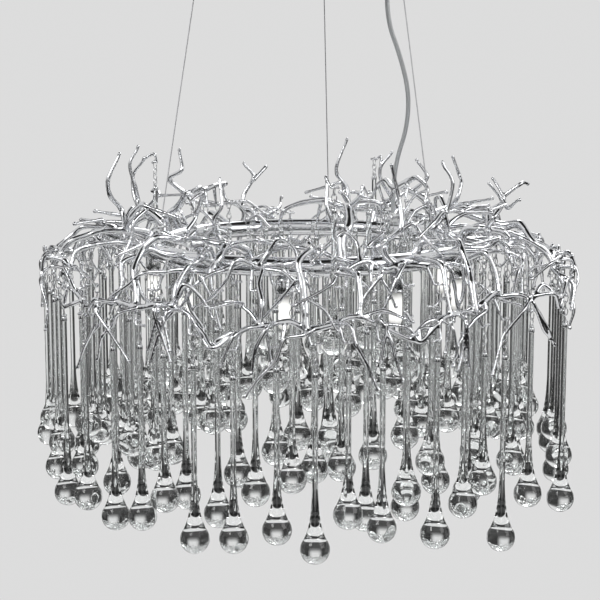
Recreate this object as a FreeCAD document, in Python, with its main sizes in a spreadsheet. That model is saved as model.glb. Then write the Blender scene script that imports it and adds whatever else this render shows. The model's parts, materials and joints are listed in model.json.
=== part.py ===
"""Branch chandelier with solid glass drops: a polished ring on three steel wires.

The origin is the middle of the ceiling bracket's top face, on the ceiling, and +Z is up.
Cast twig sprays stand on the ring. Each spray carries a row of drops on straight pins that lie
on one line, so that a row of drops swings about that line as each drop would about its own tip.
Millimetres throughout.
"""
import FreeCAD, Part
import Sketcher
import math
import os

Vector = FreeCAD.Vector

# Driving dimensions: name, value and what it is
DIMENSIONS = [
    ("ring_radius", 176.0, "centre line of the ring tube"),
    ("ring_section", 12.0, "corner radius of the ring tube's section"),
    ("ring_drop", 330.0, "ring centre below the ceiling"),
    ("canopy_radius", 145.0, "outside of the canopy cover"),
    ("canopy_depth", 32.0, "height of the canopy cover"),
    ("canopy_wall", 1.5, "sheet of the canopy cover"),
    ("bracket_width", 20.0, "strip of the ceiling bracket"),
    ("bracket_sheet", 2.0, "thickness of the bracket"),
    ("bracket_length", 150.0, "strip of the ceiling bracket"),
    ("cover_studs", 120.0, "distance between the studs that hold the cover"),
    ("stud_radius", 2.0, "cover stud"),
    ("stud_clearance", 0.3, "round the studs in the cover"),
    ("stud_fit", 0.05, "round the studs in their nuts"),
    ("nut_radius", 5.0, "corner radius of a cap nut"),
    ("nut_height", 8.0, "cap nut"),
    ("nut_depth", 6.0, "bore of a cap nut"),
    ("ceiling_bolts", 88.0, "distance between the ceiling screws"),
    ("ceiling_hole", 2.5, "radius of the ceiling screw holes"),
    ("terminal_length", 36.0, "terminal block"),
    ("terminal_width", 16.0, "terminal block"),
    ("terminal_height", 12.0, "terminal block"),
    ("wire_radius", 0.6, "suspension wire"),
    ("wire_spread", 129.0, "distance of the wires from the axis at the canopy"),
    ("wire_azimuth", 80.8, "direction of the wire at the back, in degrees"),
    ("nipple_radius", 4.5, "wire nipple"),
    ("nipple_length", 10.0, "wire nipple"),
    ("wire_grip", 6.0, "length of wire held in a nipple"),
    ("wire_fit", 0.05, "round the wire in its nipple"),
    ("foot_radius", 3.0, "stud under a wire gripper"),
    ("foot_height", 5.0, "stud under a wire gripper"),
    ("gripper_radius", 4.0, "wire gripper"),
    ("gripper_length", 15.0, "wire gripper"),
    ("gripper_bore", 7.5, "depth of the bore that the collar slides in"),
    ("collar_radius", 2.5, "release collar"),
    ("collar_length", 8.0, "release collar"),
    ("collar_travel", 2.0, "how far a collar is pressed"),
    ("collar_stop", 0.5, "space left under a collar that is pressed right down"),
    ("collar_clearance", 0.1, "round the collar in its bore"),
    ("collar_hole", 1.0, "radius of the hole for the wire"),
    ("cable_radius", 2.6, "power cable"),
    ("gland_radius", 6.0, "cable gland"),
    ("gland_length", 14.0, "cable gland at the canopy"),
    ("ring_gland_length", 11.4, "cable gland on the ring"),
    ("cable_azimuth", 52.7, "direction in which the power cable meets the ring, in degrees"),
    ("lamp_first", -98.0, "direction of the first lamp, in degrees"),
    ("holder_radius", 8.5, "lamp holder"),
    ("holder_length", 20.0, "lamp holder"),
    ("socket_depth", 8.0, "recess for the capsule's base"),
    ("base_radius", 5.2, "capsule's base"),
    ("base_clearance", 0.3, "round the capsule's base in its holder"),
    ("capsule_radius", 7.0, "lamp capsule"),
    ("capsule_length", 36.0, "lamp capsule below its holder"),
    ("capsule_shoulder", 7.2, "rounded end of a lamp capsule"),
    ("capsule_tip", 3.15, "corner radius of a lamp capsule's end"),
    ("ball_radius", 15.0, "ball of a glass drop"),
    ("stem_radius", 2.9, "stem of a glass drop"),
    ("swell_length", 58.0, "from the ball's lowest point up to where the stem begins"),
    ("chain_least", 16.0, "shortest bail, from its pin to the glass"),
    ("bail_width", 4.6, "from leg to leg of a wire bail"),
    ("bail_wire", 0.6, "corner radius of the bail's wire"),
    ("pin_radius", 1.5, "corner radius of the straight pin at a twig's tip"),
    ("pin_half", 4.5, "half the length of that pin"),
    ("pin_clearance", 0.3, "between the pin and the bail that hangs on it"),
    ("twig_radius", 4.2, "twig where it leaves the ring"),
    ("twig_fine", 2.2, "twig near its tips"),
    ("root_rise", 7.0, "upright foot of a bough on the ring"),
    ("outer_knee", 52.0, "boughs of the outer rows above the ring's centre"),
    ("middle_knee", 26.0, "boughs of the middle rows"),
    ("inner_knee", 60.0, "boughs of the inner rows"),
    ("spur_height", 17.0, "backbone of a spray above the hook line"),
    ("spur_lean", 6.0, "backbone of a spray to the ring's side of the hook line"),
    ("spur_root", 9.0, "a spur springs from the backbone this far beside its drop"),
    ("crown_out", 17.0, "bend of a crown tip, out and up from its knee"),
    ("crown_side", 50.0, "a crown tip leans this far to one side of its bough, in degrees"),
    ("knee_out", 32.0, "first kink of an outer bough, out from the ring tube's centre line"),
    ("knee_low", 6.0, "first kink of an outer bough, below its second"),
    ("knee_back", 30.0, "second kink of an outer bough, short of its hook line"),
    ("kink_side", 4.0, "sideways kink of an outer or inner bough, in degrees"),
    ("kink_return", 2.0, "second kink of an outer bough, the other way, in degrees"),
    ("kink_middle", 3.0, "sideways kink of a middle bough, in degrees"),
    ("outer_reach", 288.0, "hook line of an outer row, from the axis"),
    ("row_spacing", 45.0, "hook line of a middle row, inside that of the outer rows"),
    ("inner_reach", 118.0, "hook line of an inner row"),
    ("crown_height", 104.0, "highest twig tips above the ring"),
]

WIRES = 3
LAMPS = 9
SECTION_SIDES = 6
DROP_SIDES = 6
BOUGH_SIDES = 3
TIP_SIDES = 3
WIRE_SIDES = 6
CABLE_SIDES = 5
CAPSULE_SIDES = 5

# Shares of a twig's own thickness along a spray, from the ring to the tips
KINK_SHARE = 0.8
FIRST_KINK_SHARE = 0.9
SECOND_KINK_SHARE = 1.5
CENTRE_SHARE = 1.3
ACROSS_SHARE = 1.4
SPUR_SHARE = 0.9
CROWN_TIP_SHARE = 0.6
CROWN_HEIGHTS = (0.72, 0.86, 1.0)

# Outline of a ball in few faces: height above its lowest point and radius, in ball radii
BALL_OUTLINE = ((2.0, 0.5), (0.95, 1.0), (0.0, 0.4))
STOCK_LENGTHS = (150.0, 165.0, 180.0, 195.0, 210.0)

# Route of the power cable, heights above the ring's centre, chosen by hand
CABLE_ROUTE = [
    (93.0, 66.0, 284.0),
    (93.0, 66.0, 256.0),
    (110.0, 82.0, 214.0),
    (122.0, 98.0, 170.0),
    (121.0, 112.0, 128.0),
    (110.0, 126.0, 90.0),
]
CABLE_LAST_KINK = 54.0

# Rows of drops: name, tier, azimuth, turn out of the tangent, height of the hook line's middle
# above the ring, rise of the line per 100 mm, and each drop's place on the line with the
# height of its ball, all chosen by hand. The places are those at the drawn reach of the tier,
# and they spread or close up as the tier's reach changes.
DRAWN_REACHES = {"outer": 288.0, "middle": 243.0, "inner": 118.0}
ROWS = [
    ("01", "outer", -90, 6, -60, 4, [(-74, -254), (-31, -247), (7, -268), (40, -233), (74, -248)]),
    ("02", "outer", -50, 6, -52, 6, [(-84, -254), (-40, -232), (-8, -215), (26, -283), (72, -245)]),
    ("03", "outer", -10, 5, -32, 5, [(-80, -262), (-40, -224), (-4, -250), (36, -212), (76, -238)]),
    ("04", "outer", 30, 6, -30, -4, [(-78, -236), (-40, -215), (2, -250), (42, -206), (78, -232)]),
    ("05", "outer", 70, 7, -42, 5, [(-80, -228), (-38, -252), (0, -212), (38, -244), (76, -226)]),
    ("06", "outer", 110, 6, -40, -5, [(-76, -246), (-40, -218), (-2, -258), (40, -222), (80, -240)]),
    ("07", "outer", 150, 5, -34, 4, [(-78, -214), (-36, -242), (4, -222), (42, -256), (78, -218)]),
    ("08", "outer", 190, 6, -26, -5, [(-80, -228), (-40, -200), (0, -248), (38, -210), (78, -256)]),
    ("09", "outer", 230, 6, -50, -4, [(-56, -242), (-18, -257), (18, -251), (48, -227), (86, -263)]),
    ("10", "middle", -110, -1, -16, 5, [(-80, -196), (-46, -234), (-10, -250), (32, -223), (72, -205)]),
    ("11", "middle", -66, 1, -12, -4, [(-72, -193), (-44, -249), (2, -244), (38, -220), (76, -236)]),
    ("12", "middle", -16, 5, -8, 5, [(-76, -216), (-36, -190), (4, -240), (42, -200), (78, -178)]),
    ("13", "middle", 62, 6, -4, 4, [(-76, -182), (-38, -212), (2, -190), (40, -226), (78, -200)]),
    ("14", "middle", 164, 6, -10, 4, [(-78, -188), (-40, -216), (0, -180), (40, -228), (78, -204)]),
    ("15", "inner", -78, 4, 40, 4, [(-62, -130), (-20, -152), (22, -122), (62, -144)]),
    ("16", "inner", 26, 4, 46, -4, [(-62, -118), (-22, -146), (20, -126), (60, -112)]),
    ("17", "inner", 160, 4, 42, 4, [(-62, -140), (-20, -116), (22, -148), (62, -124)]),
]

doc = FreeCAD.newDocument("branch_chandelier")
sheet = doc.addObject("Spreadsheet::Sheet", "sizes")
for line, (alias, value, meaning) in enumerate(DIMENSIONS, start=1):
    sheet.set("A%d" % line, meaning)
    sheet.set("B%d" % line, str(value))
    sheet.setAlias("B%d" % line, alias)
doc.recompute()


def size(alias):
    """A driving dimension, read from the sheet as a plain number."""
    return float(getattr(sheet, alias))


def polar(radius, azimuth, height):
    """A point from its distance to the axis, its direction in degrees and its height."""
    turn = math.radians(azimuth)
    return Vector(radius * math.cos(turn), radius * math.sin(turn), height)


def bind(thing, **expressions):
    """Tie properties of an object to cells of the sheet."""
    for name, expression in expressions.items():
        thing.setExpression(name.replace("__", "."), expression)


def named(kind, label):
    """A new object of the document under its own label."""
    thing = doc.addObject(kind, label)
    thing.Label = label
    return thing


def shaped(label, shape):
    """A sub-part whose shape is worked out here from the sheet's values."""
    thing = named("Part::Feature", label)
    thing.Shape = shape
    return thing


# Heights and faces that several pieces share
RING_LEVEL = -size("ring_drop")
RING_FLAT = size("ring_section") * math.cos(math.pi / SECTION_SIDES)
RING_TOP = RING_LEVEL + RING_FLAT
RING_BOTTOM = RING_LEVEL - RING_FLAT
CANOPY_BOTTOM = -size("canopy_depth")


def planar_face(corners):
    """A flat face through corners in order."""
    return Part.Face(Part.makePolygon(corners + corners[:1]))


def band_faces(lower, upper):
    """Side faces between two rings of corners: one flat face each, or two where it is twisted."""
    faces = []
    count = len(lower)
    for i in range(count):
        j = (i + 1) % count
        a, b, c, d = lower[i], lower[j], upper[j], upper[i]
        normal = (b - a).cross(d - a)
        twist = abs((c - a).dot(normal)) / max(normal.Length, 1e-9)
        if twist < 1e-6:
            faces.append(planar_face([a, b, c, d]))
        else:
            faces.append(planar_face([a, b, c]))
            faces.append(planar_face([a, c, d]))
    return faces


def tapered(stations, sides, side_hint=Vector(0.31, 0.95, 0.05)):
    """A many-sided rod through stations of a centre and a corner radius, mitred at each kink."""
    centres = [centre for centre, radius in stations]
    last = len(centres) - 1
    rings = []
    side = side_hint
    for i, (centre, radius) in enumerate(stations):
        before = (centres[i] - centres[i - 1]).normalize() if i > 0 else None
        after = (centres[i + 1] - centres[i]).normalize() if i < last else None
        along = (before or after) + (after or before)
        along.normalize()
        side = side - along * side.dot(along)
        side.normalize()
        across = along.cross(side)
        corners = []
        for k in range(sides):
            turn = 2 * math.pi * (k + 0.5) / sides
            corners.append(centre + (side * math.cos(turn) + across * math.sin(turn)) * radius)
        rings.append(corners)
    faces = [planar_face(rings[0]), planar_face(rings[-1])]
    for lower, upper in zip(rings, rings[1:]):
        faces += band_faces(lower, upper)
    solid = Part.Solid(Part.Shell(faces))
    if solid.Volume < 0:
        solid.reverse()
    return solid


def rod(start, direction, length, radius, sides=SECTION_SIDES):
    """A straight many-sided rod."""
    return tapered([(start, radius), (start + direction * length, radius)], sides)


UP = Vector(0, 0, 1)
DOWN = Vector(0, 0, -1)


def pair(distance, level):
    """Two points along X, evenly about the axis."""
    return [Vector(side * distance / 2, 0, level) for side in (-1, 1)]


# Ceiling bracket: a strip with two holes for the ceiling screws and two studs for the cover
def ceiling_bracket():
    long = size("bracket_length")
    wide = size("bracket_width")
    thick = size("bracket_sheet")
    body = Part.makeBox(long, wide, thick, Vector(-long / 2, -wide / 2, -thick))
    for top in pair(size("ceiling_bolts"), thick):
        body = body.cut(Part.makeCylinder(size("ceiling_hole"), 3 * thick, top, DOWN))
    for top in pair(size("cover_studs"), -thick / 2):
        reach = size("canopy_depth") + size("nut_depth") - thick / 2
        body = body.fuse(rod(top, DOWN, reach, size("stud_radius")))
    return body.removeSplitter()


shaped("ceiling_bracket", ceiling_bracket())


# Canopy cover: a turned shell, open to the ceiling
def canopy_cover():
    body = named("PartDesign::Body", "canopy_blank")
    sketch = body.newObject("Sketcher::SketchObject", "canopy_profile")
    plane = [f for f in body.Origin.OriginFeatures if f.Role == "XZ_Plane"][0]
    sketch.AttachmentSupport = (plane, "")
    sketch.MapMode = "FlatFace"
    outside = size("canopy_radius")
    depth = size("canopy_depth")
    wall = size("canopy_wall")
    corners = [
        (0, -depth), (outside, -depth), (outside, 0),
        (outside - wall, 0), (outside - wall, -depth + wall), (0, -depth + wall),
    ]
    for i, (x, z) in enumerate(corners):
        nx, nz = corners[(i + 1) % len(corners)]
        sketch.addGeometry(Part.LineSegment(Vector(x, z, 0), Vector(nx, nz, 0)))
    for i, (x, z) in enumerate(corners):
        following = (i + 1) % len(corners)
        kind = "Horizontal" if corners[following][1] == z else "Vertical"
        sketch.addConstraint(Sketcher.Constraint(kind, i))
        sketch.addConstraint(Sketcher.Constraint("Coincident", i, 2, following, 1))
    sketch.addConstraint(Sketcher.Constraint("PointOnObject", 0, 1, -2))
    sketch.addConstraint(Sketcher.Constraint("PointOnObject", 2, 1, -1))
    spans = [
        ("outside", "DistanceX", (0, 1, 0, 2), "canopy_radius"),
        ("depth", "DistanceY", (1, 1, 1, 2), "canopy_depth"),
        ("rim", "DistanceX", (2, 2, 2, 1), "canopy_wall"),
        ("floor", "DistanceY", (5, 2, 5, 1), "canopy_wall"),
    ]
    for name, kind, ends, alias in spans:
        index = sketch.addConstraint(Sketcher.Constraint(kind, *ends, size(alias)))
        sketch.renameConstraint(index, name)
        sketch.setExpression("Constraints." + name, "sizes." + alias)
    doc.recompute()
    turned = body.newObject("PartDesign::Revolution", "canopy_turned")
    turned.Profile = sketch
    turned.ReferenceAxis = (sketch, ["V_Axis"])
    turned.Angle = 360.0
    doc.recompute()
    return body


canopy_body = canopy_cover()
drill_radius = size("stud_radius") + size("stud_clearance")
drills = [rod(top, DOWN, 2 * size("canopy_depth"), drill_radius) for top in pair(size("cover_studs"), 0)]
drill = shaped("canopy_drill", Part.makeCompound(drills))
canopy = named("Part::Cut", "canopy_cover")
canopy.Base = canopy_body
canopy.Tool = drill


# Cap nuts on the studs, under the cover
def canopy_nuts():
    nuts = []
    for top in pair(size("cover_studs"), CANOPY_BOTTOM):
        nut = rod(top, DOWN, size("nut_height"), size("nut_radius"))
        bore = rod(top, DOWN, size("nut_depth"), size("stud_radius") + size("stud_fit"))
        nuts.append(nut.cut(bore))
    return Part.makeCompound(nuts)


shaped("canopy_nuts", canopy_nuts())

# Terminal block under the middle of the bracket
terminal = named("Part::Box", "terminal_block")
bind(terminal, Length="sizes.terminal_length", Width="sizes.terminal_width")
bind(terminal, Height="sizes.terminal_height")
bind(terminal, Placement__Base__x="-sizes.terminal_length / 2")
bind(terminal, Placement__Base__y="-sizes.terminal_width / 2")
bind(terminal, Placement__Base__z="-sizes.bracket_sheet - sizes.terminal_height")


# Suspension: each wire runs straight from its gripper on the ring to its nipple at the canopy
def wire_ends(index):
    """Where wire number index starts, on its gripper's foot, and its unit direction upwards."""
    azimuth = size("wire_azimuth") + index * 360.0 / WIRES
    low = polar(size("ring_radius"), azimuth, RING_TOP + size("foot_height"))
    high = polar(size("wire_spread"), azimuth, CANOPY_BOTTOM)
    return low, (high - low).normalize()


GRIPPER_FLOOR = size("gripper_length") - size("gripper_bore")


def wire_span(index):
    """Length of a wire from the floor of its gripper's bore to its end in the nipple."""
    low, upwards = wire_ends(index)
    mouth = (CANOPY_BOTTOM - size("nipple_length") - low.z) / upwards.z
    return mouth + size("wire_grip") - GRIPPER_FLOOR


gripper_solids = []
nipple_solids = []
for index in range(WIRES):
    low, upwards = wire_ends(index)
    span = wire_span(index)
    wire_start = low + upwards * GRIPPER_FLOOR
    wire = rod(wire_start, upwards, span, size("wire_radius"), WIRE_SIDES)
    shaped("suspension_wire_%d" % (index + 1), wire)

    foot_base = Vector(low.x, low.y, RING_TOP)
    foot_length = size("foot_height") + size("gripper_radius") / 2
    foot = rod(foot_base, UP, foot_length, size("foot_radius"))
    barrel = rod(low, upwards, size("gripper_length"), size("gripper_radius"))
    bore_radius = size("collar_radius") + size("collar_clearance")
    bore = rod(wire_start, upwards, 2 * size("gripper_bore"), bore_radius)
    gripper_solids.append(barrel.fuse(foot).removeSplitter().cut(bore))

    rest = size("collar_travel") + size("collar_stop")
    collar = rod(wire_start + upwards * rest, upwards, size("collar_length"), size("collar_radius"))
    passage = rod(wire_start, upwards, 2 * size("gripper_length"), size("collar_hole"), WIRE_SIDES)
    shaped("release_collar_%d" % (index + 1), collar.cut(passage))

    end = wire_start + upwards * span
    centre = low + upwards * ((CANOPY_BOTTOM - size("nipple_length") / 2 - low.z) / upwards.z)
    nipple_low = Vector(centre.x, centre.y, CANOPY_BOTTOM - size("nipple_length"))
    nipple = rod(nipple_low, UP, size("nipple_length"), size("nipple_radius"))
    socket_radius = size("wire_radius") + size("wire_fit")
    socket = rod(end, upwards * -1, 2 * size("wire_grip"), socket_radius, WIRE_SIDES)
    nipple_solids.append(nipple.cut(socket))

shaped("gripper_bodies", Part.makeCompound(gripper_solids))
shaped("wire_nipples", Part.makeCompound(nipple_solids))

# Ring tube: a section with flats above and below, turned about the axis
section = named("Part::RegularPolygon", "ring_section_profile")
section.Polygon = SECTION_SIDES
turn_upright = FreeCAD.Rotation(Vector(1, 0, 0), 90)
section.Placement = FreeCAD.Placement(Vector(size("ring_radius"), 0, RING_LEVEL), turn_upright)
bind(section, Circumradius="sizes.ring_section")
bind(section, Placement__Base__x="sizes.ring_radius", Placement__Base__z="-sizes.ring_drop")
ring = named("Part::Revolution", "ring_tube")
ring.Source = section
ring.Axis = Vector(0, 0, 1)
ring.Base = Vector(0, 0, 0)
ring.Angle = 360.0
ring.Solid = True
doc.recompute()


# Power cable: straight runs joined by tangent arcs as large as the runs allow
def cable_path(points):
    """One wire of lines and arcs along the route, printing each arc's radius."""
    edges = []
    start = points[0]
    for before, corner, after in zip(points, points[1:], points[2:]):
        back = before - corner
        ahead = after - corner
        half_turn = (math.pi - back.getAngle(ahead)) / 2
        setback = 0.45 * min(back.Length, ahead.Length)
        radius = setback / math.tan(half_turn)
        enter = corner + back.normalize() * setback
        leave = corner + ahead.normalize() * setback
        towards = (back + ahead).normalize()
        middle = corner + towards * (radius / math.cos(half_turn) - radius)
        edges.append(Part.LineSegment(start, enter).toShape())
        edges.append(Part.Arc(enter, middle, leave).toShape())
        start = leave
        print("cable arc radius %.0f mm" % radius)
    edges.append(Part.LineSegment(start, points[-1]).toShape())
    return Part.Wire(edges)


def power_cable():
    points = [Vector(x, y, RING_LEVEL + z) for x, y, z in CABLE_ROUTE]
    points[0].z = CANOPY_BOTTOM - size("gland_length")
    entry = polar(size("ring_radius"), size("cable_azimuth"), RING_TOP + size("ring_gland_length"))
    points += [Vector(entry.x, entry.y, RING_LEVEL + CABLE_LAST_KINK), entry]
    path = cable_path(points)
    turns = [360.0 * k / CABLE_SIDES for k in range(CABLE_SIDES)]
    corners = [points[0] + polar(size("cable_radius"), turn, 0) for turn in turns]
    jacket = Part.makePolygon(corners + corners[:1])
    solid = path.makePipeShell([jacket], True, True)
    expected = path.Length * Part.Face(jacket).Area
    print("cable length %.1f mm, volume ratio %.4f" % (path.Length, solid.Volume / expected))
    return solid


shaped("power_cable", power_cable())

canopy_gland = named("Part::Prism", "canopy_gland")
canopy_gland.Polygon = 6
bind(canopy_gland, Circumradius="sizes.gland_radius", Height="sizes.gland_length")
bind(canopy_gland, Placement__Base__z="-sizes.canopy_depth - sizes.gland_length")
canopy_gland.Placement.Base = Vector(CABLE_ROUTE[0][0], CABLE_ROUTE[0][1], 0)

ring_gland = named("Part::Prism", "ring_gland")
ring_gland.Polygon = 6
bind(ring_gland, Circumradius="sizes.gland_radius", Height="sizes.ring_gland_length")
ring_gland.Placement.Base = polar(size("ring_radius"), size("cable_azimuth"), RING_TOP)


# Lamps under the ring: a holder with a recess, and a capsule whose base stands in it
def lamp_pair(azimuth):
    """The holder and the capsule of one lamp."""
    top = polar(size("ring_radius"), azimuth, RING_BOTTOM)
    mouth = top + DOWN * size("holder_length")
    floor = mouth + UP * size("socket_depth")
    recess_radius = size("base_radius") + size("base_clearance")
    holder = tapered([(top, size("holder_radius")), (mouth, size("holder_radius"))], CAPSULE_SIDES)
    recess = tapered([(floor, recess_radius), (mouth + DOWN, recess_radius)], CAPSULE_SIDES)
    neck = mouth + DOWN * size("base_clearance")
    end = neck + DOWN * size("capsule_length")
    capsule = tapered([
        (floor, size("base_radius")),
        (neck, size("base_radius")),
        (end + UP * size("capsule_shoulder"), size("capsule_radius")),
        (end, size("capsule_tip")),
    ], CAPSULE_SIDES)
    return holder.cut(recess), capsule


lamps = [lamp_pair(size("lamp_first") + k * 360.0 / LAMPS) for k in range(LAMPS)]
shaped("lamp_holders", Part.makeCompound([holder for holder, capsule in lamps]))
shaped("lamp_capsules", Part.makeCompound([capsule for holder, capsule in lamps]))


# Rows of drops and the sprays that carry them
REACHES = {
    "outer": size("outer_reach"),
    "middle": size("outer_reach") - size("row_spacing"),
    "inner": size("inner_reach"),
}


class Row:
    """Where a row's hook line runs: its middle, its direction and its drops."""

    def __init__(self, name, tier, azimuth, turn, height, rise, drops):
        self.name = name
        self.tier = tier
        self.reach = REACHES[tier]
        self.azimuth = azimuth
        self.inner = tier == "inner"
        self.middle = polar(self.reach, azimuth, RING_LEVEL + height)
        flat = polar(1.0, azimuth + 90 + turn, rise / 100.0)
        self.along = flat.normalize()
        stretch = self.reach / DRAWN_REACHES[tier]
        self.drops = [(place * stretch, ball_level) for place, ball_level in drops]

    @property
    def crown_turn(self):
        """Odd rows send their crown tip one way, even rows the other."""
        return size("crown_side") * (1 if int(self.name) % 2 else -1)

    @property
    def crown_share(self):
        """Crown tips reach three different heights."""
        return CROWN_HEIGHTS[int(self.name) % 3]

    def hook(self, place):
        return self.middle + self.along * place

    def flat_along(self):
        return Vector(self.along.x, self.along.y, 0).normalize()


rows = [Row(*entry) for entry in ROWS]


def glass_drop(top, length):
    """A stem that swells into a ball, hanging from its top."""
    ball = size("ball_radius")
    low = -length
    profile = [(0.0, size("stem_radius")), (low + size("swell_length"), size("stem_radius"))]
    profile += [(low + height * ball, radius * ball) for height, radius in BALL_OUTLINE]
    return tapered([(top + UP * height, radius) for height, radius in profile], DROP_SIDES)


def wire_bail(pin, below, across):
    """A bent wire that hangs astride its pin, its two legs ending on the glass below."""
    wire = size("bail_wire")
    side = across.cross(UP) * (size("bail_width") / 2)
    high = UP * (size("pin_radius") + size("pin_clearance") + wire)
    low = UP * -below
    bends = [pin - side + low, pin - side + high, pin + side + high, pin + side + low]
    return tapered([(bend, wire) for bend in bends], TIP_SIDES, across)


def drop_row(row):
    """Every bail and drop of a row, each a solid of its own."""
    solids = []
    for place, ball_level in row.drops:
        pin = row.hook(place)
        hang = pin.z - (RING_LEVEL + ball_level) + size("ball_radius")
        lengths = [length for length in STOCK_LENGTHS if hang - length >= size("chain_least")]
        length = lengths[-1] if lengths else STOCK_LENGTHS[0]
        below = max(hang - length, size("chain_least"))
        solids.append(wire_bail(pin, below, row.flat_along()))
        solids.append(glass_drop(pin - UP * below, length))
    return Part.makeCompound(solids)


def bough_stations(row, centre):
    """The bough of a spray: up from the ring's upper flat, then out or in to the backbone."""
    thick = size("twig_radius")
    fine = size("twig_fine")
    ring_radius = size("ring_radius")
    root = polar(ring_radius, row.azimuth, RING_TOP)
    collar = root + UP * size("root_rise")
    half_way = (ring_radius + row.reach) / 2
    stations = [(root, thick), (collar, thick)]
    if row.inner:
        knee = polar(half_way, row.azimuth + size("kink_side"), RING_LEVEL + size("inner_knee"))
        stations.append((knee, thick * KINK_SHARE))
    elif row.tier == "middle":
        knee = polar(half_way, row.azimuth - size("kink_middle"), RING_LEVEL + size("middle_knee"))
        stations.append((knee, thick * KINK_SHARE))
    else:
        high = RING_LEVEL + size("outer_knee")
        out = ring_radius + size("knee_out")
        back = row.reach - size("knee_back")
        knee = polar(out, row.azimuth + size("kink_side"), high - size("knee_low"))
        stations.append((knee, thick * FIRST_KINK_SHARE))
        stations.append((polar(back, row.azimuth - size("kink_return"), high), fine * SECOND_KINK_SHARE))
    stations.append((centre, fine * CENTRE_SHARE))
    return stations


def branch_spray(row):
    """A bough that ends in one tip, a limb across it that ends in two, spurs and a crown tip."""
    fine = size("twig_fine")
    pin = size("pin_radius")
    lean = size("spur_lean") * (1 if row.inner else -1)
    offset = UP * size("spur_height") + polar(lean, row.azimuth, 0)
    places = [place for place, ball in row.drops]
    middle = len(places) // 2
    sideways = row.flat_along().cross(UP)

    def over(index, side):
        """The kink above a hook, on its given side."""
        return row.hook(places[index] + side * size("spur_root")) + offset

    def tip(index, side):
        """The two ends of the straight pin at a hook, the one nearer the given side first."""
        near = row.hook(places[index] + side * size("pin_half"))
        far = row.hook(places[index] - side * size("pin_half"))
        return [(near, pin), (far, pin)]

    centre = over(middle, -1)
    bough = bough_stations(row, centre)
    knee = bough[2][0]
    away = polar(1.0, row.azimuth + row.crown_turn, 0)
    bend = knee + away * size("crown_out") + UP * size("crown_out")
    crown_level = RING_LEVEL + size("crown_height") * row.crown_share
    crown = Vector(bend.x, bend.y, crown_level) - away * size("crown_out") / 2

    across = list(reversed(tip(0, 1))) + [(over(0, 1), fine), (centre, fine * ACROSS_SHARE)]
    across += [(over(-1, -1), fine)] + tip(-1, -1)
    limbs = [
        tapered(bough + tip(middle, -1), BOUGH_SIDES),
        tapered(across, TIP_SIDES, sideways),
        tapered([(knee, fine * CENTRE_SHARE), (bend, fine), (crown, fine * CROWN_TIP_SHARE)], TIP_SIDES),
    ]
    for index in range(1, len(places) - 1):
        if index == middle:
            continue
        side = 1 if index < middle else -1
        end = over(0, 1) if index < middle else over(-1, -1)
        share = (over(index, side) - centre).Length / (end - centre).Length
        spring = centre + (end - centre) * share
        limbs.append(tapered([(spring, fine * SPUR_SHARE)] + tip(index, side), TIP_SIDES, sideways))
    return limbs[0].multiFuse(limbs[1:]).removeSplitter()


for row in rows:
    shaped("branch_spray_" + row.name, branch_spray(row))
    shaped("drop_row_" + row.name, drop_row(row))

doc.recompute()

HELPERS = ("sizes", "ring_section_profile", "canopy_blank", "canopy_profile", "canopy_turned", "canopy_drill")


def kept_parts():
    """The objects that are sub-parts: every shape but the helpers and the body's own planes."""
    found = []
    for thing in doc.Objects:
        is_helper = thing.Label in HELPERS or thing.Name in HELPERS
        if is_helper or not hasattr(thing, "Shape") or thing.TypeId.startswith("App::"):
            continue
        if thing.TypeId.startswith("PartDesign::") or thing.TypeId.startswith("Sketcher::"):
            continue
        found.append(thing)
    return found


for thing in doc.Objects:
    state = [str(word) for word in thing.State]
    if "Invalid" in state or "Error" in state:
        raise RuntimeError("%s failed: %s" % (thing.Label, state))

parts = kept_parts()
for thing in parts:
    if thing.Shape.isNull() or not thing.Shape.isValid():
        raise RuntimeError("%s has no valid shape" % thing.Label)

os.makedirs("parts", exist_ok=True)
for thing in parts:
    thing.Shape.exportStep("parts/%s.step" % thing.Label)
    print("%-20s solids %3d volume %10.1f" % (thing.Label, len(thing.Shape.Solids), thing.Shape.Volume))
print("sub-parts:", len(parts))
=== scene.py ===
# %% [markdown]
# # A branch chandelier with solid glass drops
# The real lamp is a polished steel ring on three thin wires. Cast twigs stand on the ring like
# a crown of coral, and every twig tip carries a small chain with a long glass drop. The CAD
# model fixes the places and sizes. This script dresses it: its pieces take their places from
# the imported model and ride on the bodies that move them. It adds the drops that the CAD can't
# afford.

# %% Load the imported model
import json
import math

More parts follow.
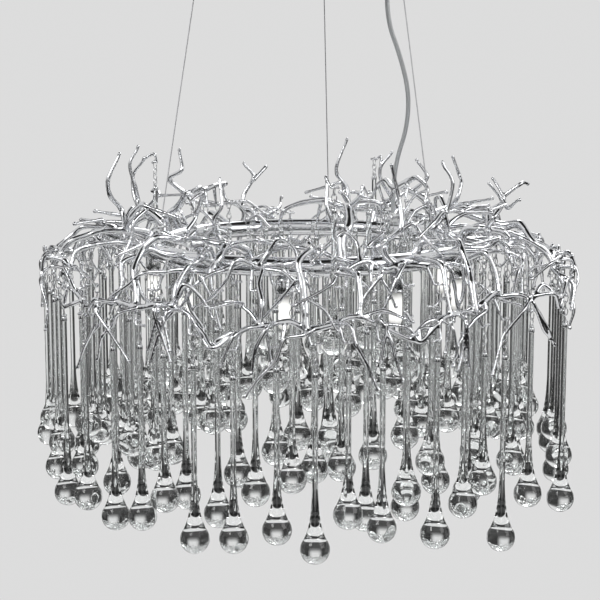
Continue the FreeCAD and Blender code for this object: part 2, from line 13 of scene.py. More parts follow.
import bpy
import numpy as np
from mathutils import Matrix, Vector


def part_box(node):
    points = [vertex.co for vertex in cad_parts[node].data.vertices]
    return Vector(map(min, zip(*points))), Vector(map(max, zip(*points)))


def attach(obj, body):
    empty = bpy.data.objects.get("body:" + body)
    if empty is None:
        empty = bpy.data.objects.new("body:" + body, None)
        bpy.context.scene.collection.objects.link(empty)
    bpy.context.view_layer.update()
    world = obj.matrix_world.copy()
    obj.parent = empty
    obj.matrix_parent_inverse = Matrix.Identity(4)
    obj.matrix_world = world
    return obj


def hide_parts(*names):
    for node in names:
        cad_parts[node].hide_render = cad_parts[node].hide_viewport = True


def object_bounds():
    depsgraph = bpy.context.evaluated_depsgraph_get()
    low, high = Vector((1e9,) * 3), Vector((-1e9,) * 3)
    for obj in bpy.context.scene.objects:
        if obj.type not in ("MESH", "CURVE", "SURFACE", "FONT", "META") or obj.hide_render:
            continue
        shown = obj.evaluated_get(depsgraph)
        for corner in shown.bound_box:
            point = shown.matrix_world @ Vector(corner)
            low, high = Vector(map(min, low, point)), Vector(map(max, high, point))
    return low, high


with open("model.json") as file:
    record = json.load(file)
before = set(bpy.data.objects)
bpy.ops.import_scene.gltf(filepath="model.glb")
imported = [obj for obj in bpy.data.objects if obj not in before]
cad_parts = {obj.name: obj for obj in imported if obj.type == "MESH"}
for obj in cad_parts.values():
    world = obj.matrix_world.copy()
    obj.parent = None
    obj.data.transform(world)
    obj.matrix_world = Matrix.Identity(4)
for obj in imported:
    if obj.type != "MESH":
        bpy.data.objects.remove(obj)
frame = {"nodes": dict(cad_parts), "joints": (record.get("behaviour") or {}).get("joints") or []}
cad_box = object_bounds()
joints = {joint["child"]: joint for joint in frame["joints"]}

# %% [markdown]
# ## The camera
# A camera was fitted to the ring's four edges in the photograph. It stands about a quarter of a
# metre above the ring and looks a little down, so the ring shows as a flat ellipse. The focal
# length is kept in pixels of a 600 pixel frame, because that is how it was measured.

# %% Camera
FRAME_PIXELS = 600
FOCAL_PIXELS = 1580
CAMERA_PLACE = (-0.008, -1.8, -0.093)
CAMERA_TILT = math.radians(80.51)


def placed(name, data):
    """A new object in the scene."""
    thing = bpy.data.objects.new(name, data)
    bpy.context.collection.objects.link(thing)
    return thing


camera_data = bpy.data.cameras.new("camera")
camera_data.sensor_width = 36.0
camera_data.lens = camera_data.sensor_width * FOCAL_PIXELS / FRAME_PIXELS
camera = placed("camera", camera_data)
camera.location = CAMERA_PLACE
camera.rotation_euler = (CAMERA_TILT, 0.0, 0.0)
bpy.context.scene.camera = camera
bpy.context.scene.view_settings.view_transform = "Standard"
print("lens", round(camera_data.lens, 1), "mm")

# %% [markdown]
# ## Shader maths as plain expressions
# A procedural finish is a sum of patterns. A small class wraps a socket, so that
# `0.1 + 0.05 * grain` adds its Math nodes by itself. Every other node comes from one method,
# which sets the node's settings before it fills its sockets.

# %% Finishes as expressions


class Wire:
    """A number that travels along a socket, and can be added, multiplied and raised."""

    def __init__(self, graph, socket):
        self.graph = graph
        self.socket = socket

    def maths(self, operation, left, right):
        made = self.graph.node("ShaderNodeMath", {"operation": operation}, {0: left, 1: right})
        return Wire(self.graph, made.outputs[0])

    def __add__(self, other):
        return self.maths("ADD", self, other)

    def __sub__(self, other):
        return self.maths("SUBTRACT", self, other)

    def __rsub__(self, other):
        return self.maths("SUBTRACT", other, self)

    def __mul__(self, other):
        return self.maths("MULTIPLY", self, other)

    def power(self, exponent):
        return self.maths("POWER", self, exponent)

    __radd__ = __add__
    __rmul__ = __mul__


class Graph:
    """The nodes of one finish."""

    def __init__(self, tree):
        self.tree = tree
        self.tree.nodes.clear()

    def node(self, kind, settings, sockets):
        """A node of a kind, its settings first, then values or links of its sockets."""
        made = self.tree.nodes.new(kind)
        for name, value in settings.items():
            setattr(made, name, value)
        for name, value in sockets.items():
            if isinstance(value, Wire):
                value = value.socket
            if isinstance(value, bpy.types.NodeSocket):
                self.tree.links.new(value, made.inputs[name])
            else:
                made.inputs[name].default_value = value
        return made

    def places(self):
        """Object coordinates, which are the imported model's own metres."""
        return self.node("ShaderNodeTexCoord", {}, {}).outputs["Object"]

    def axes(self):
        """The three coordinates of a place, each a number."""
        split = self.node("ShaderNodeSeparateXYZ", {}, {"Vector": self.places()})
        return [Wire(self, socket) for socket in split.outputs]

    def noise(self, scale, detail=3.0, stretch=(1.0, 1.0, 1.0)):
        """Cloudy noise from 0 to 1, with so many waves to the metre."""
        mapping = self.node("ShaderNodeMapping", {}, {"Vector": self.places(), "Scale": stretch})
        sockets = {"Vector": mapping.outputs[0], "Scale": scale, "Detail": detail}
        return Wire(self, self.node("ShaderNodeTexNoise", {}, sockets).outputs[0])

    def stripes(self, per_metre, direction):
        """Soft stripes from 0 to 1 across a direction."""
        sockets = {0: self.places(), 1: direction}
        spots = self.node("ShaderNodeVectorMath", {"operation": "DOT_PRODUCT"}, sockets)
        phase = Wire(self, spots.outputs["Value"]) * (2 * math.pi * per_metre)
        wave = self.node("ShaderNodeMath", {"operation": "SINE"}, {0: phase})
        return Wire(self, wave.outputs[0]) * 0.5 + 0.5

    def ramp(self, value, start, end, low, high):
        """A number that goes smoothly from low to high while a value goes from start to end."""
        sockets = {"Value": value, "From Min": start, "From Max": end, "To Min": low, "To Max": high}
        made = self.node("ShaderNodeMapRange", {"interpolation_type": "SMOOTHSTEP"}, sockets)
        return Wire(self, made.outputs[0])

    def mix(self, share, first, second):
        """One colour turning into another as the share goes from 0 to 1."""
        sockets = {0: share, 6: (*first, 1.0), 7: (*second, 1.0)}
        return self.node("ShaderNodeMix", {"data_type": "RGBA"}, sockets).outputs[2]

    def relief(self, height, depth):
        """A bump: a height from 0 to 1, so many metres deep."""
        sockets = {"Height": height, "Distance": depth, "Strength": 1.0}
        return self.node("ShaderNodeBump", {}, sockets).outputs[0]


def blank(name):
    """A new material, and the graph of its nodes."""
    material = bpy.data.materials.new(name)
    material.use_nodes = True
    return material, Graph(material.node_tree)


def finish(name, describe):
    """A material whose principled shader takes the sockets that describe(graph) gives."""
    material, graph = blank(name)
    shader = graph.node("ShaderNodeBsdfPrincipled", {}, describe(graph))
    graph.node("ShaderNodeOutputMaterial", {}, {"Surface": shader.outputs[0]})
    return material


print("finish helpers ready")

# %% [markdown]
# ## The metals and the glass
# The twigs are cast and then plated, so their mirror is a little uneven. The ring and the
# canopy are drawn or spun sheet, polished smooth. The drops are solid clear glass. Their
# surface has the faint waves of glass that was drawn hot, and those waves make the streaks.

# %% Finishes of metal and glass


def plated(tone, gloss, spread, grain, depth):
    """Plated metal: a tone that clouds over slightly, with an uneven gloss and surface."""

    def describe(graph):
        cloud = graph.noise(grain)
        dust = graph.noise(grain * 7, 2.0)
        return {
            "Base Color": graph.mix(cloud, [0.86 * channel for channel in tone], tone),
            "Metallic": 1.0,
            "Roughness": gloss + spread * dust,
            "Normal": graph.relief(cloud + 0.15 * dust, depth),
        }

    return describe


def drawn_glass(graph):
    waves = graph.noise(45.0, 1.5, (1.0, 1.0, 0.25))
    return {
        "Base Color": graph.mix(waves, (0.96, 0.985, 0.98), (1.0, 1.0, 1.0)),
        "Roughness": 0.004 + 0.012 * graph.noise(30.0),
        "IOR": 1.52,
        "Transmission Weight": 1.0,
        "Normal": graph.relief(waves, 0.0004),
    }


twig_chrome = finish("twig_chrome", plated((0.86, 0.87, 0.89), 0.05, 0.12, 90.0, 0.00035))
ring_chrome = finish("ring_chrome", plated((0.85, 0.86, 0.88), 0.03, 0.06, 12.0, 0.00002))
canopy_chrome = finish("canopy_chrome", plated((0.84, 0.85, 0.87), 0.06, 0.08, 9.0, 0.00002))
fitting_chrome = finish("fitting_chrome", plated((0.84, 0.85, 0.86), 0.08, 0.12, 160.0, 0.00002))
zinc = finish("zinc", plated((0.62, 0.63, 0.65), 0.28, 0.2, 60.0, 0.00005))
drop_glass = finish("drop_glass", drawn_glass)
print("metals and glass", len(bpy.data.materials))

# %% [markdown]
# ## Wire, cable, lamps and plastic
# The wire is stranded and the cable has a silver braid under its clear jacket: both are soft
# stripes. A lit capsule glows from the middle, so its light fades towards both ends.

# %% Finishes of the small parts
FILAMENT_RISE = 0.018
GLOW_REACH = 0.017
filament_level = float(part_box("lamp_capsules")[0][2]) + FILAMENT_RISE


def stranded(graph):
    strands = graph.stripes(900.0, (0.7, 0.3, 1.0))
    return {
        "Base Color": graph.mix(strands, (0.3, 0.3, 0.31), (0.72, 0.72, 0.74)),
        "Metallic": 1.0,
        "Roughness": 0.22 + 0.15 * strands,
        "Normal": graph.relief(strands, 0.0001),
    }


def braid_in_jacket(graph):
    braid = graph.stripes(420.0, (1.0, 0.4, 0.9)) * graph.stripes(420.0, (-1.0, -0.4, 0.9))
    return {
        "Base Color": graph.mix(braid, (0.5, 0.52, 0.53), (0.88, 0.89, 0.9)),
        "Metallic": 0.55,
        "Roughness": 0.3 - 0.15 * braid,
        "Coat Weight": 0.7 + 0.3 * graph.noise(40.0),
        "Coat Roughness": 0.05,
        "Normal": graph.relief(braid, 0.0002),
    }


def frosted_and_lit(graph):
    """Frosted glass round a short filament: brightest half way down, dimmer towards both ends."""
    cloud = graph.noise(220.0)
    offset = (graph.axes()[2] - filament_level) * (1 / GLOW_REACH)
    glow = graph.ramp(offset * offset, 0.0, 1.0, 1.0, 0.0)
    return {
        "Base Color": graph.mix(cloud, (0.9, 0.9, 0.88), (1.0, 1.0, 0.98)),
        "Roughness": 0.3 + 0.2 * cloud,
        "Emission Color": graph.mix(glow, (0.05, 0.05, 0.045), (1.0, 0.985, 0.95)),
        "Emission Strength": 0.9,
    }


def moulded(tone, gloss):
    """Moulded plastic: a tone with faint flow marks and a fine skin."""

    def describe(graph):
        flow = graph.noise(120.0, 2.0)
        return {
            "Base Color": graph.mix(flow, [0.9 * channel for channel in tone], tone),
            "Roughness": gloss + 0.12 * flow,
            "Coat Weight": 0.2 * flow,
            "Normal": graph.relief(graph.noise(1500.0, 2.0), 0.00003),
        }

    return describe


steel_wire = finish("steel_wire", stranded)
clear_jacket = finish("clear_jacket", braid_in_jacket)
lamp_glass = finish("lamp_glass", frosted_and_lit)
gland_plastic = finish("gland_plastic", moulded((0.82, 0.83, 0.83), 0.22))
terminal_plastic = finish("terminal_plastic", moulded((0.86, 0.86, 0.84), 0.4))
print("finishes", len(bpy.data.materials))

# %% [markdown]
# ## Pieces
# A piece is a mesh or a curve in its finish. It rides on the body that moves it, and it may
# stand for a node of the CAD, which then isn't shown. A stage piece, such as the floor, is a
# mesh in its finish that rides on no body.

# %% Pieces


def mesh_from(name, shape):
    """A mesh from points, quads and fans, shaded smooth."""
    points, quads, fans = shape
    mesh = bpy.data.meshes.new(name)
    mesh.from_pydata(points.tolist(), [], quads.tolist() + fans.tolist())
    mesh.shade_smooth()
    return mesh


def dress(name, data, material, body, replaced):
    """A mesh or curve in its finish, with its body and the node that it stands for."""
    data.materials.append(material)
    thing = placed(name, data)
    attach(thing, body)
    if replaced:
        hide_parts(replaced)
    return thing


def piece(name, shape, material, body, replaced, crease=None):
    """A dressed piece from a shape, with sharp edges past so many degrees of crease."""
    mesh = mesh_from(name, shape)
    if crease:
        mesh.set_sharp_from_angle(angle=math.radians(crease))
    dress(name, mesh, material, body, replaced)


def staged(name, shape, material):
    """A stage piece from a shape."""
    mesh = mesh_from(name, shape)
    mesh.materials.append(material)
    thing = placed(name, mesh)
    return thing


def box_of(node):
    """Lowest and highest corner of a CAD node."""
    return np.array([tuple(corner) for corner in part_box(node)])


print("piece helpers ready")

# %% [markdown]
# ## The cords
# Three thin steel wires carry the ring and are pulled straight, so each is a line from its
# gripper to its nipple. The power cable is longer than the gap that it bridges and hangs in a
# shallow S. A cord is one open curve with a round section, because its length can then be
# measured along the curve.

# %% Cords
WIRE_RADIUS = 0.0006
CABLE_RADIUS = 0.0026
CABLE_POINTS = np.array([
    (0.093, 0.066, -0.046),
    (0.093, 0.066, -0.074),
    (0.110, 0.082, -0.116),
    (0.122, 0.098, -0.160),
    (0.121, 0.112, -0.202),
    (0.110, 0.126, -0.240),
    (0.10665, 0.14000, -0.276),
    (0.10665, 0.14000, -0.30821),
])


def corners_of(node):
    """Vertices of a CAD node, in metres."""
    mesh = frame["nodes"][node].data
    flat = np.empty(len(mesh.vertices) * 3)
    mesh.vertices.foreach_get("co", flat)
    return flat.reshape(-1, 3)


def cord_piece(name, points, radius, material, node):
    """One open smooth curve that is pulled towards its control points, with a round section."""
    curve = bpy.data.curves.new(name, "CURVE")
    curve.dimensions = "3D"
    curve.bevel_depth = radius
    curve.bevel_resolution = 4
    curve.resolution_u = 16
    curve.use_fill_caps = True
    spline = curve.splines.new("NURBS")
    spline.points.add(len(points) - 1)
    spline.points.foreach_set("co", np.column_stack([points, np.ones(len(points))]).ravel())
    spline.order_u = 3
    spline.use_endpoint_u = True
    return dress(name, curve, material, "frame", node)


wire_lines = []
for number in (1, 2, 3):
    node = "suspension_wire_%d" % number
    corners = corners_of(node)
    halfway = corners[:, 2].mean()
    low = corners[corners[:, 2] < halfway].mean(axis=0)
    high = corners[corners[:, 2] > halfway].mean(axis=0)
    wire_lines.append((low, high))
    line = np.array([low, (low + high) / 2, high])
    name = "steel_wire_%d" % number
    cord = cord_piece(name, line, WIRE_RADIUS, steel_wire, node)
    length = float(np.linalg.norm(high - low))
    print(node, "length", round(length, 4))

name = "power_cable_jacket"
cable = cord_piece(name, CABLE_POINTS, CABLE_RADIUS, clear_jacket, "power_cable")
print("cable control points", len(CABLE_POINTS))

# %% [markdown]
# ## Surfaces from rows of points
# Nearly every piece is round in section: turned fittings, drops, chain links and twigs. So each
# is a stack of rows of points that run round, and the faces between two rows are the same
# pattern every time. The pattern is worked out once for the whole grid.

# %% Rows of points and the skin over them
UP = np.array([0.0, 0.0, 1.0])
DOWN = -UP


def lengths_of(vectors):
    return np.linalg.norm(vectors, axis=-1, keepdims=True)


def circles(centres, radii, side, across, count):
    """Rows of points round centres: radius * (cos(turn) * side + sin(turn) * across).

    The radii are one for all, one for each row, or one for each point.
    """
    turn = np.arange(count) * (2 * math.pi / count)
    round_it = np.cos(turn)[:, None] * side[..., None, :] + np.sin(turn)[:, None] * across[..., None, :]
    radii = np.atleast_1d(radii)
    return centres[:, None, :] + radii.reshape(len(radii), -1, 1) * round_it


def skin(rows, looped=False):
    """Points and faces over rows that run round: quads between rows, and a fan on each end.

    A face joins point (i, k), its neighbour round the row, and the two above them. A looped
    skin joins its last row to its first and needs no fans.
    """
    count, sides = rows.shape[:2]
    step = np.arange(count if looped else count - 1)[:, None]
    place = np.arange(sides)[None, :]
    following = (place + 1) % sides
    above = (step + 1) % count
    quads = np.stack(np.broadcast_arrays(
        step * sides + place, step * sides + following, above * sides + following, above * sides + place,
    ), axis=-1).reshape(-1, 4)
    points = rows.reshape(-1, 3)
    if looped:
        return points, quads, np.zeros((0, 3), int)
    poles = rows[[0, -1]].mean(axis=1)
    ring = np.arange(sides)
    after = (ring + 1) % sides
    top = (count - 1) * sides
    low_fan = np.column_stack([np.full(sides, count * sides), after, ring])
    high_fan = np.column_stack([np.full(sides, count * sides + 1), top + ring, top + after])
    return np.vstack([points, poles]), quads, np.vstack([low_fan, high_fan])


def join(skins):
    """Several skins as one."""
    points, quads, fans = zip(*skins)
    offsets = np.cumsum([0] + [len(part) for part in points[:-1]])
    quads, fans = (
        np.vstack([part + offset for part, offset in zip(faces, offsets)]) for faces in (quads, fans)
    )
    return np.vstack(points), quads, fans


def frame_round(direction):
    """Two unit directions square to a more or less upright one, and to each other."""
    side = np.array([1.0, 0.0, 0.0]) - direction * direction[0]
    side /= np.linalg.norm(side)
    return side, np.cross(direction, side)


def turned(outline, start, direction, sides, looped=False, waves=1.0):
    """A turned shape: circles of the outline's radii, at the outline's distances along a direction.

    A looped one has a bore: its outline comes back down inside to where it began. Waves multiply
    the radii, with a value for each point of each circle.
    """
    side, across = frame_round(direction)
    centres = start + outline[:, :1] * direction
    return skin(circles(centres, outline[:, 1:] * waves, side, across, sides), looped)


def mm(*pairs):
    """An outline in metres, from pairs of a distance and a radius in millimetres."""
    return np.array(pairs) * 0.001


print("surface helpers ready")

# %% [markdown]
# ## The ring
# The real ring is one steel tube, rolled and polished. A ring surface has two angles, one round
# the lamp and one round the tube. The CAD tube has flats, so the smooth tube takes their
# distance as its radius, and everything that stands on the flats stands on the tube.

# %% Ring
RING_RADIUS = 0.176
TUBE_RADIUS = 0.010392
RING_LEVEL = float(box_of("ring_tube")[:, 2].mean())
RING_TOP = RING_LEVEL + TUBE_RADIUS
around = np.linspace(0, 2 * math.pi, 160, endpoint=False)
outward = np.column_stack([np.cos(around), np.sin(around), np.zeros(len(around))])
ring_rows = circles(outward * RING_RADIUS + UP * RING_LEVEL, TUBE_RADIUS, outward, UP, 32)
points, quads, fans = skin(ring_rows, looped=True)
piece("ring_polished", (points, quads[:, ::-1], fans), ring_chrome, "frame", "ring_tube")
print("ring level", round(RING_LEVEL, 4))

# %% [markdown]
# ## Finding each drop in the CAD
# A row of drops is one CAD node of many separate solids. Triangles that share a corner belong
# together, so a label spreads from corner to corner until every solid has its own. The tall
# solids are the drops. Their tops and their lowest points give every drop's place and length.

# %% Solids of a node
DROP_AT_LEAST = 0.1
OUTER_BEYOND = 0.27


def solids_of(node):
    """The separate solids of a CAD node, each as its corners, found by spreading labels."""
    mesh = frame["nodes"][node].data
    mesh.calc_loop_triangles()
    triangles = np.empty(len(mesh.loop_triangles) * 3, int)
    mesh.loop_triangles.foreach_get("vertices", triangles)
    corners, which = np.unique(np.round(corners_of(node), 6), axis=0, return_inverse=True)
    triangles = which.ravel()[triangles].reshape(-1, 3)
    labels = np.arange(len(corners))
    while True:
        lowest = labels[triangles].min(axis=1)
        spread = labels.copy()
        np.minimum.at(spread, triangles.ravel(), np.repeat(lowest, 3))
        if (spread == labels).all():
            return [corners[labels == label] for label in np.unique(labels)]
        labels = spread


def top_of(solid):
    """Middle of the top face of a solid."""
    return solid[solid[:, 2] > solid[:, 2].max() - 1e-4].mean(axis=0)


class Row:
    """A row of drops: its hinge line, and each drop's pin, glass top and lowest point."""

    def __init__(self, number):
        self.number = number
        self.name = "%02d" % number
        self.body = "drops_" + self.name
        self.middle = np.array(joints[self.body]["pos_m"])
        self.along = -np.array(joints[self.body]["axis"])
        self.azimuth = math.atan2(self.middle[1], self.middle[0])
        self.reach = float(np.hypot(*self.middle[:2]))
        self.inner = self.reach < RING_RADIUS
        self.outer = self.reach > OUTER_BEYOND
        self.swing = math.sin(math.radians(joints[self.body]["range_deg"][1]))
        flat = self.along * (1, 1, 0)
        self.flat = flat / np.linalg.norm(flat)
        tall = [s for s in solids_of("drop_row_" + self.name) if np.ptp(s[:, 2]) > DROP_AT_LEAST]
        tops = np.array([top_of(s) for s in tall])
        places = (tops - self.middle)[:, :2] @ self.flat[:2] / np.linalg.norm(self.along[:2])
        order = np.argsort(places)
        self.places = places[order]
        self.tops = tops[order]
        self.lows = np.array([s[:, 2].min() for s in tall])[order]
        self.pins = self.hook(self.places)

    def hook(self, place):
        """The point of the hinge line at a place along the row."""
        return self.middle + np.multiply.outer(place, self.along)


rows = [Row(number) for number in range(1, 18)]
print("drops", sum(len(row.places) for row in rows))

# %% [markdown]
# ## The glass drops
# A drop is drawn from hot glass: gravity pulls a rod, and its end gathers into a ball. So the
# outline is a ball below, and above it the radius falls away as a decaying curve until only the
# rod is left. One outline serves all drops, and only the rod part is stretched.

# %% Drops
BALL = 0.015
STEM = 0.0029
LEAVE = math.radians(31)
FLARE = 0.056
STEM_SOFTENS = 0.0006


def drop_outline():
    """Height above the lowest point and radius: a ball, then a decaying flare up to the stem."""
    turn = np.linspace(math.radians(-86), LEAVE, 15)
    ball = np.column_stack([BALL * (1 + np.sin(turn)), BALL * np.cos(turn)])
    leave_height, leave_radius = ball[-1]
    decay = (leave_radius - STEM) / math.tan(LEAVE)
    beyond = np.linspace(0.0, 1.0, 15)[1:] ** 1.3 * FLARE
    faded = np.exp(-beyond / decay) - np.exp(-FLARE / decay) * beyond / FLARE
    flare = np.column_stack([leave_height + beyond, STEM + (leave_radius - STEM) * faded])
    return np.vstack([ball, flare])


outline = drop_outline()


def glass_of(tops, lows):
    """Drops from the shared outline, with a straight stem up to each one's own top.

    The CAD's balls have flats. So a drop at the very edge is a little slimmer, by as much as its
    round ball would stand out of the CAD box.
    """
    edges = np.array(cad_box)[:, :2]
    skins = []
    for top, low in zip(tops, lows):
        length = top[2] - low
        slimmer = min(1.0, float(np.abs(edges - top[:2]).min()) / BALL)
        stem = np.linspace(outline[-1, 0], length - 0.002, 5)[1:]
        heights = np.concatenate([outline[:, 0], stem, [length - STEM_SOFTENS, length]])
        radii = np.concatenate([outline[:, 1], np.full(len(stem) + 1, STEM), [STEM * 0.75]])
        skins.append(turned(np.column_stack([heights, radii * slimmer]), (top[0], top[1], low), UP, 24))
    return join(skins)


for row in rows:
    glass = glass_of(row.tops, row.lows)
    piece("glass_" + row.name, glass, drop_glass, row.body, "drop_row_" + row.name)
print("glass faces of the last row", len(glass[1]))

# %% [markdown]
# ## Caps and chains
# Each stem ends in a small metal cap with an eye, and links of bent wire join it to the twig.
# Links take turns: one faces along the row, the next across it. There are hundreds of them, so
# a link has few faces: a closed oval path with a square section, shaded smooth.

# %% Caps and chains
LINK_WIRE = 0.0006
LINK_HALF = 0.0027
LINK_STEP = 0.0068
LINK_OVERLAP = LINK_WIRE * 1.9
EYE_HEIGHT = 0.0022
EYE_HALF = 0.0017
EYE_SINKS = 0.0008
PIN_RADIUS = 0.0015
CAP_OUTLINE = mm((0.6, 0.0), (0.6, 1.4), (0.2, 2.4), (-1.2, 3.1), (-4.5, 3.3), (-5.1, 2.9))


def link(centre, half_height, plane, sideways):
    """A closed oval of wire: plane and UP span it, and it is thin along sideways."""
    turn = np.linspace(0, 2 * math.pi, 10, endpoint=False)
    out = np.cos(turn)[:, None] * plane * LINK_HALF + np.sin(turn)[:, None] * UP * half_height
    return skin(circles(centre + out, LINK_WIRE, out / lengths_of(out), sideways, 4), looped=True)


def chain_of(pins, tops, flats):
    """Caps, and links from each twig's pin, which points along a flat direction, to the cap's eye."""
    skins = []
    for pin, top, flat in zip(pins, tops, flats):
        ways = [(flat, np.cross(flat, UP)), (np.cross(flat, UP), flat)]
        skins.append(turned(CAP_OUTLINE, top, UP, 14))
        eye = top + UP * EYE_HEIGHT
        hang = pin[2] - PIN_RADIUS - eye[2]
        count = max(2, int(round(hang / LINK_STEP)))
        for number in range(count):
            centre = np.array([pin[0], pin[1], eye[2] + hang / count * (number + 0.5)])
            reach = hang / count / 2 + LINK_OVERLAP
            if number == count - 1:
                reach += PIN_RADIUS
                centre = centre + UP * PIN_RADIUS
            skins.append(link(centre, reach, *ways[(count - number) % 2]))
        skins.append(link(eye - UP * EYE_SINKS, EYE_HALF, *ways[(count + 1) % 2]))
    return join(skins)


for row in rows:
    chains = chain_of(row.pins, row.tops, [row.flat] * len(row.pins))
    piece("chains_" + row.name, chains, fitting_chrome, row.body, "drop_row_" + row.name)
print("chain faces of the last row", len(chains[1]))

# %% [markdown]
# ## Keeping clear of what swings
# A twig must not touch a drop, not even when its row swings. So every limb is tested before it
# is kept: at each of its points, each drop has a radius, which grows by the swing at that depth.
# The same test finds room for more drops later.

# %% Room between the drops
CHAIN_RADIUS = 0.0034
OVER_PIN = 0.004
BELOW_OWN_PIN = -0.0035
UNDER_DROP = 0.004
hung = {name: [] for name in ("spot", "pin", "top", "low", "swing", "row")}


def hang(pins, tops, lows, swing, name):
    """Notes drops as obstacles: their place, pin, glass top, lowest point, swing and row."""
    for pin, top, low in zip(pins, tops, lows):
        for key, value in zip(hung, (pin[:2], pin[2], top[2], low, swing, name)):
            hung[key].append(value)


def width_at(level, top, low):
    """Radius of a drop, or of the chain over it, at a level."""
    return np.where(level > top, CHAIN_RADIUS, np.interp(level - low, outline[:, 0], outline[:, 1]))


def room(path, own=None):
    """Least gap between a path's level circles (x, y, z, radius) and all drops.

    The gap is the distance between the axes, less both radii, less the swing at that depth. A
    drop counts up to just over its pin, but only up to just below it for a limb of its own spray.
    """
    spot, pin, top, low, swing, row_names = map(np.array, hung.values())
    level = path[:, 2:3]
    away = np.linalg.norm(path[:, None, :2] - spot, axis=-1)
    ceiling = pin + np.where(row_names == own, BELOW_OWN_PIN, OVER_PIN)
    there = (level > low - UNDER_DROP) & (level < ceiling)
    gaps = away - width_at(level, top, low) - path[:, 3:] - swing * np.maximum(pin - level, 0)
    return float(np.where(there, gaps, 1.0).min())


for row in rows:
    hang(row.pins, row.tops, row.lows, row.swing, row.name)
    print(row.name, "reach", round(row.reach, 3), "azimuth", round(math.degrees(row.azimuth)))
print("drops to keep clear of", len(hung["pin"]))

# %% [markdown]
# ## The twigs
# On the real lamp each spray is one casting. A limb is a smooth path with its own thickness at
# every point: thick at the ring, thinner outwards, with a knuckle where it kinks and a small
# knob at its tip. All limbs of a spray are tubes that run into each other. A voxel remesh then
# melts them into one skin, and the joints get the soft fillets of a casting.

# %% Limbs
ROOT = 0.0050
FINE = 0.0027
KINK_PITCH = 0.022
STEPS = 7
rng = np.random.default_rng(11)


def smooth_path(stations, steps):
    """A curve through the stations: each stretch is a cubic whose ends share their slopes."""
    stations = np.asarray(stations, float)
    ends = np.vstack([2 * stations[0] - stations[1], stations, 2 * stations[-1] - stations[-2]])
    a, b, c, d = (part[:, None] for part in (ends[:-3], ends[1:-2], ends[2:-1], ends[3:]))
    t = np.linspace(0, 1, steps, endpoint=False)[:, None]
    cubic = 2 * b + (c - a) * t + (2 * a - 5 * b + 4 * c - d) * t**2 + (3 * b - a - 3 * c + d) * t**3
    return np.vstack([cubic.reshape(-1, stations.shape[1]) / 2, stations[-1:]])


def sampled(table, places, at):
    """Each column of a table, read between its rows at some places."""
    return np.column_stack([np.interp(at, places, column) for column in table.T])


def kinked(stations, rough):
    """Knuckles along a smooth curve: every two centimetres or so a point steps aside and thickens."""
    curve = smooth_path(stations, 12)
    travel = np.concatenate([[0], np.cumsum(lengths_of(np.diff(curve[:, :3], axis=0)))])
    count = max(2, int(round(travel[-1] / KINK_PITCH)) + 1)
    knuckles = sampled(curve, travel, np.linspace(0, travel[-1], count))
    inside = slice(1, count - 1)
    knuckles[inside, :3] += rng.normal(size=(count - 2, 3)) * KINK_PITCH * rough
    knuckles[inside, 3] *= rng.uniform(1.0, 1.28, count - 2)
    return knuckles


def limb(stations, head=(), tail=(), rough=0.13):
    """The path of a limb with knuckles from stations (x, y, z, radius), straight head and tail.

    It is four parts of the smooth curve through the knuckles and one part of the straight lines
    between them, so a kink stays visible. Between knuckles the limb is a little thinner.
    """
    whole = np.vstack([*head, kinked(stations, rough), *tail])
    curve = smooth_path(whole, STEPS)
    share = np.arange(len(curve)) / STEPS
    path = 0.8 * curve + 0.2 * sampled(whole, np.arange(len(whole)), share)
    path[:, 3] *= 1 - 0.12 * np.sin(math.pi * (share % 1.0)) ** 2
    return path


def tube_of(path):
    """The skin of a limb: circles square to its path, drawn in over both ends to round them."""
    along = np.gradient(path[:, :3], axis=0)
    along /= np.maximum(lengths_of(along), 1e-9)
    cap = np.radians([35, 62, 82])
    first = path[0, :3] - np.outer(np.sin(cap[::-1]), along[0]) * path[0, 3]
    last = path[-1, :3] + np.outer(np.sin(cap), along[-1]) * path[-1, 3]
    centres = np.vstack([first, path[:, :3], last])
    radii = np.concatenate([path[0, 3] * np.cos(cap[::-1]), path[:, 3], path[-1, 3] * np.cos(cap)])
    along = np.vstack([np.tile(along[0], (3, 1)), along, np.tile(along[-1], (3, 1))])
    reference = np.linalg.svd(along)[2][2]
    side = reference - along * (along @ reference)[:, None]
    side /= np.maximum(lengths_of(side), 1e-9)
    return skin(circles(centres, radii, side, np.cross(along, side), 10))


def through(*stops):
    """Stations (x, y, z, radius) from pairs of a point and a radius."""
    return [np.append(point, radius) for point, radius in stops]


def polar(radius, azimuth, height):
    return np.array([radius * math.cos(azimuth), radius * math.sin(azimuth), height])


print("limb helpers ready")

# %% [markdown]
# ## Limbs that are clear of the drops
# A limb is drawn at random again and again, ever more loosely, until it is clear of all drops.
# Each kind of limb is a function that gives such a drawing: a side limb that bows and may fork,
# or one that trails down in front of the drops.

# %% Drawing clear limbs
TRIES = 40
CLEAR = 0.0008
WIDEST = 0.3065
WIDER_ROUND = 0.008
SLIM = 0.0022
KNOB_OUT = 0.004


def drawn_clear(draw, own, needed=False):
    """The first drawing of some limbs that clears all drops and, unless needed, stays inside the lamp.

    Where none does, a needed limb is the drawing with the most room, and any other is left out.
    """
    best, most = [], -1.0
    for attempt in range(TRIES):
        paths = draw(attempt / TRIES)
        whole = np.vstack(paths)
        gap = room(whole, own)
        round_reach = np.hypot(whole[:, 0], whole[:, 1]).max()
        inside = np.abs(whole[:, :2]).max() < WIDEST and round_reach < WIDEST + WIDER_ROUND
        if gap > CLEAR and (inside or needed):
            return paths
        if needed and gap > most:
            best, most = paths, gap
    if needed:
        print("least room of a needed limb", own, round(most * 1000, 2), "mm")
    return best


def with_knob(stations, thickness):
    """A limb through the stations, whose tip swells to a small knob."""
    last, before = stations[-1][:3], stations[-2][:3]
    onward = (last - before) / np.linalg.norm(last - before)
    return limb(stations, tail=through((last + onward * KNOB_OUT, thickness * 1.15)))


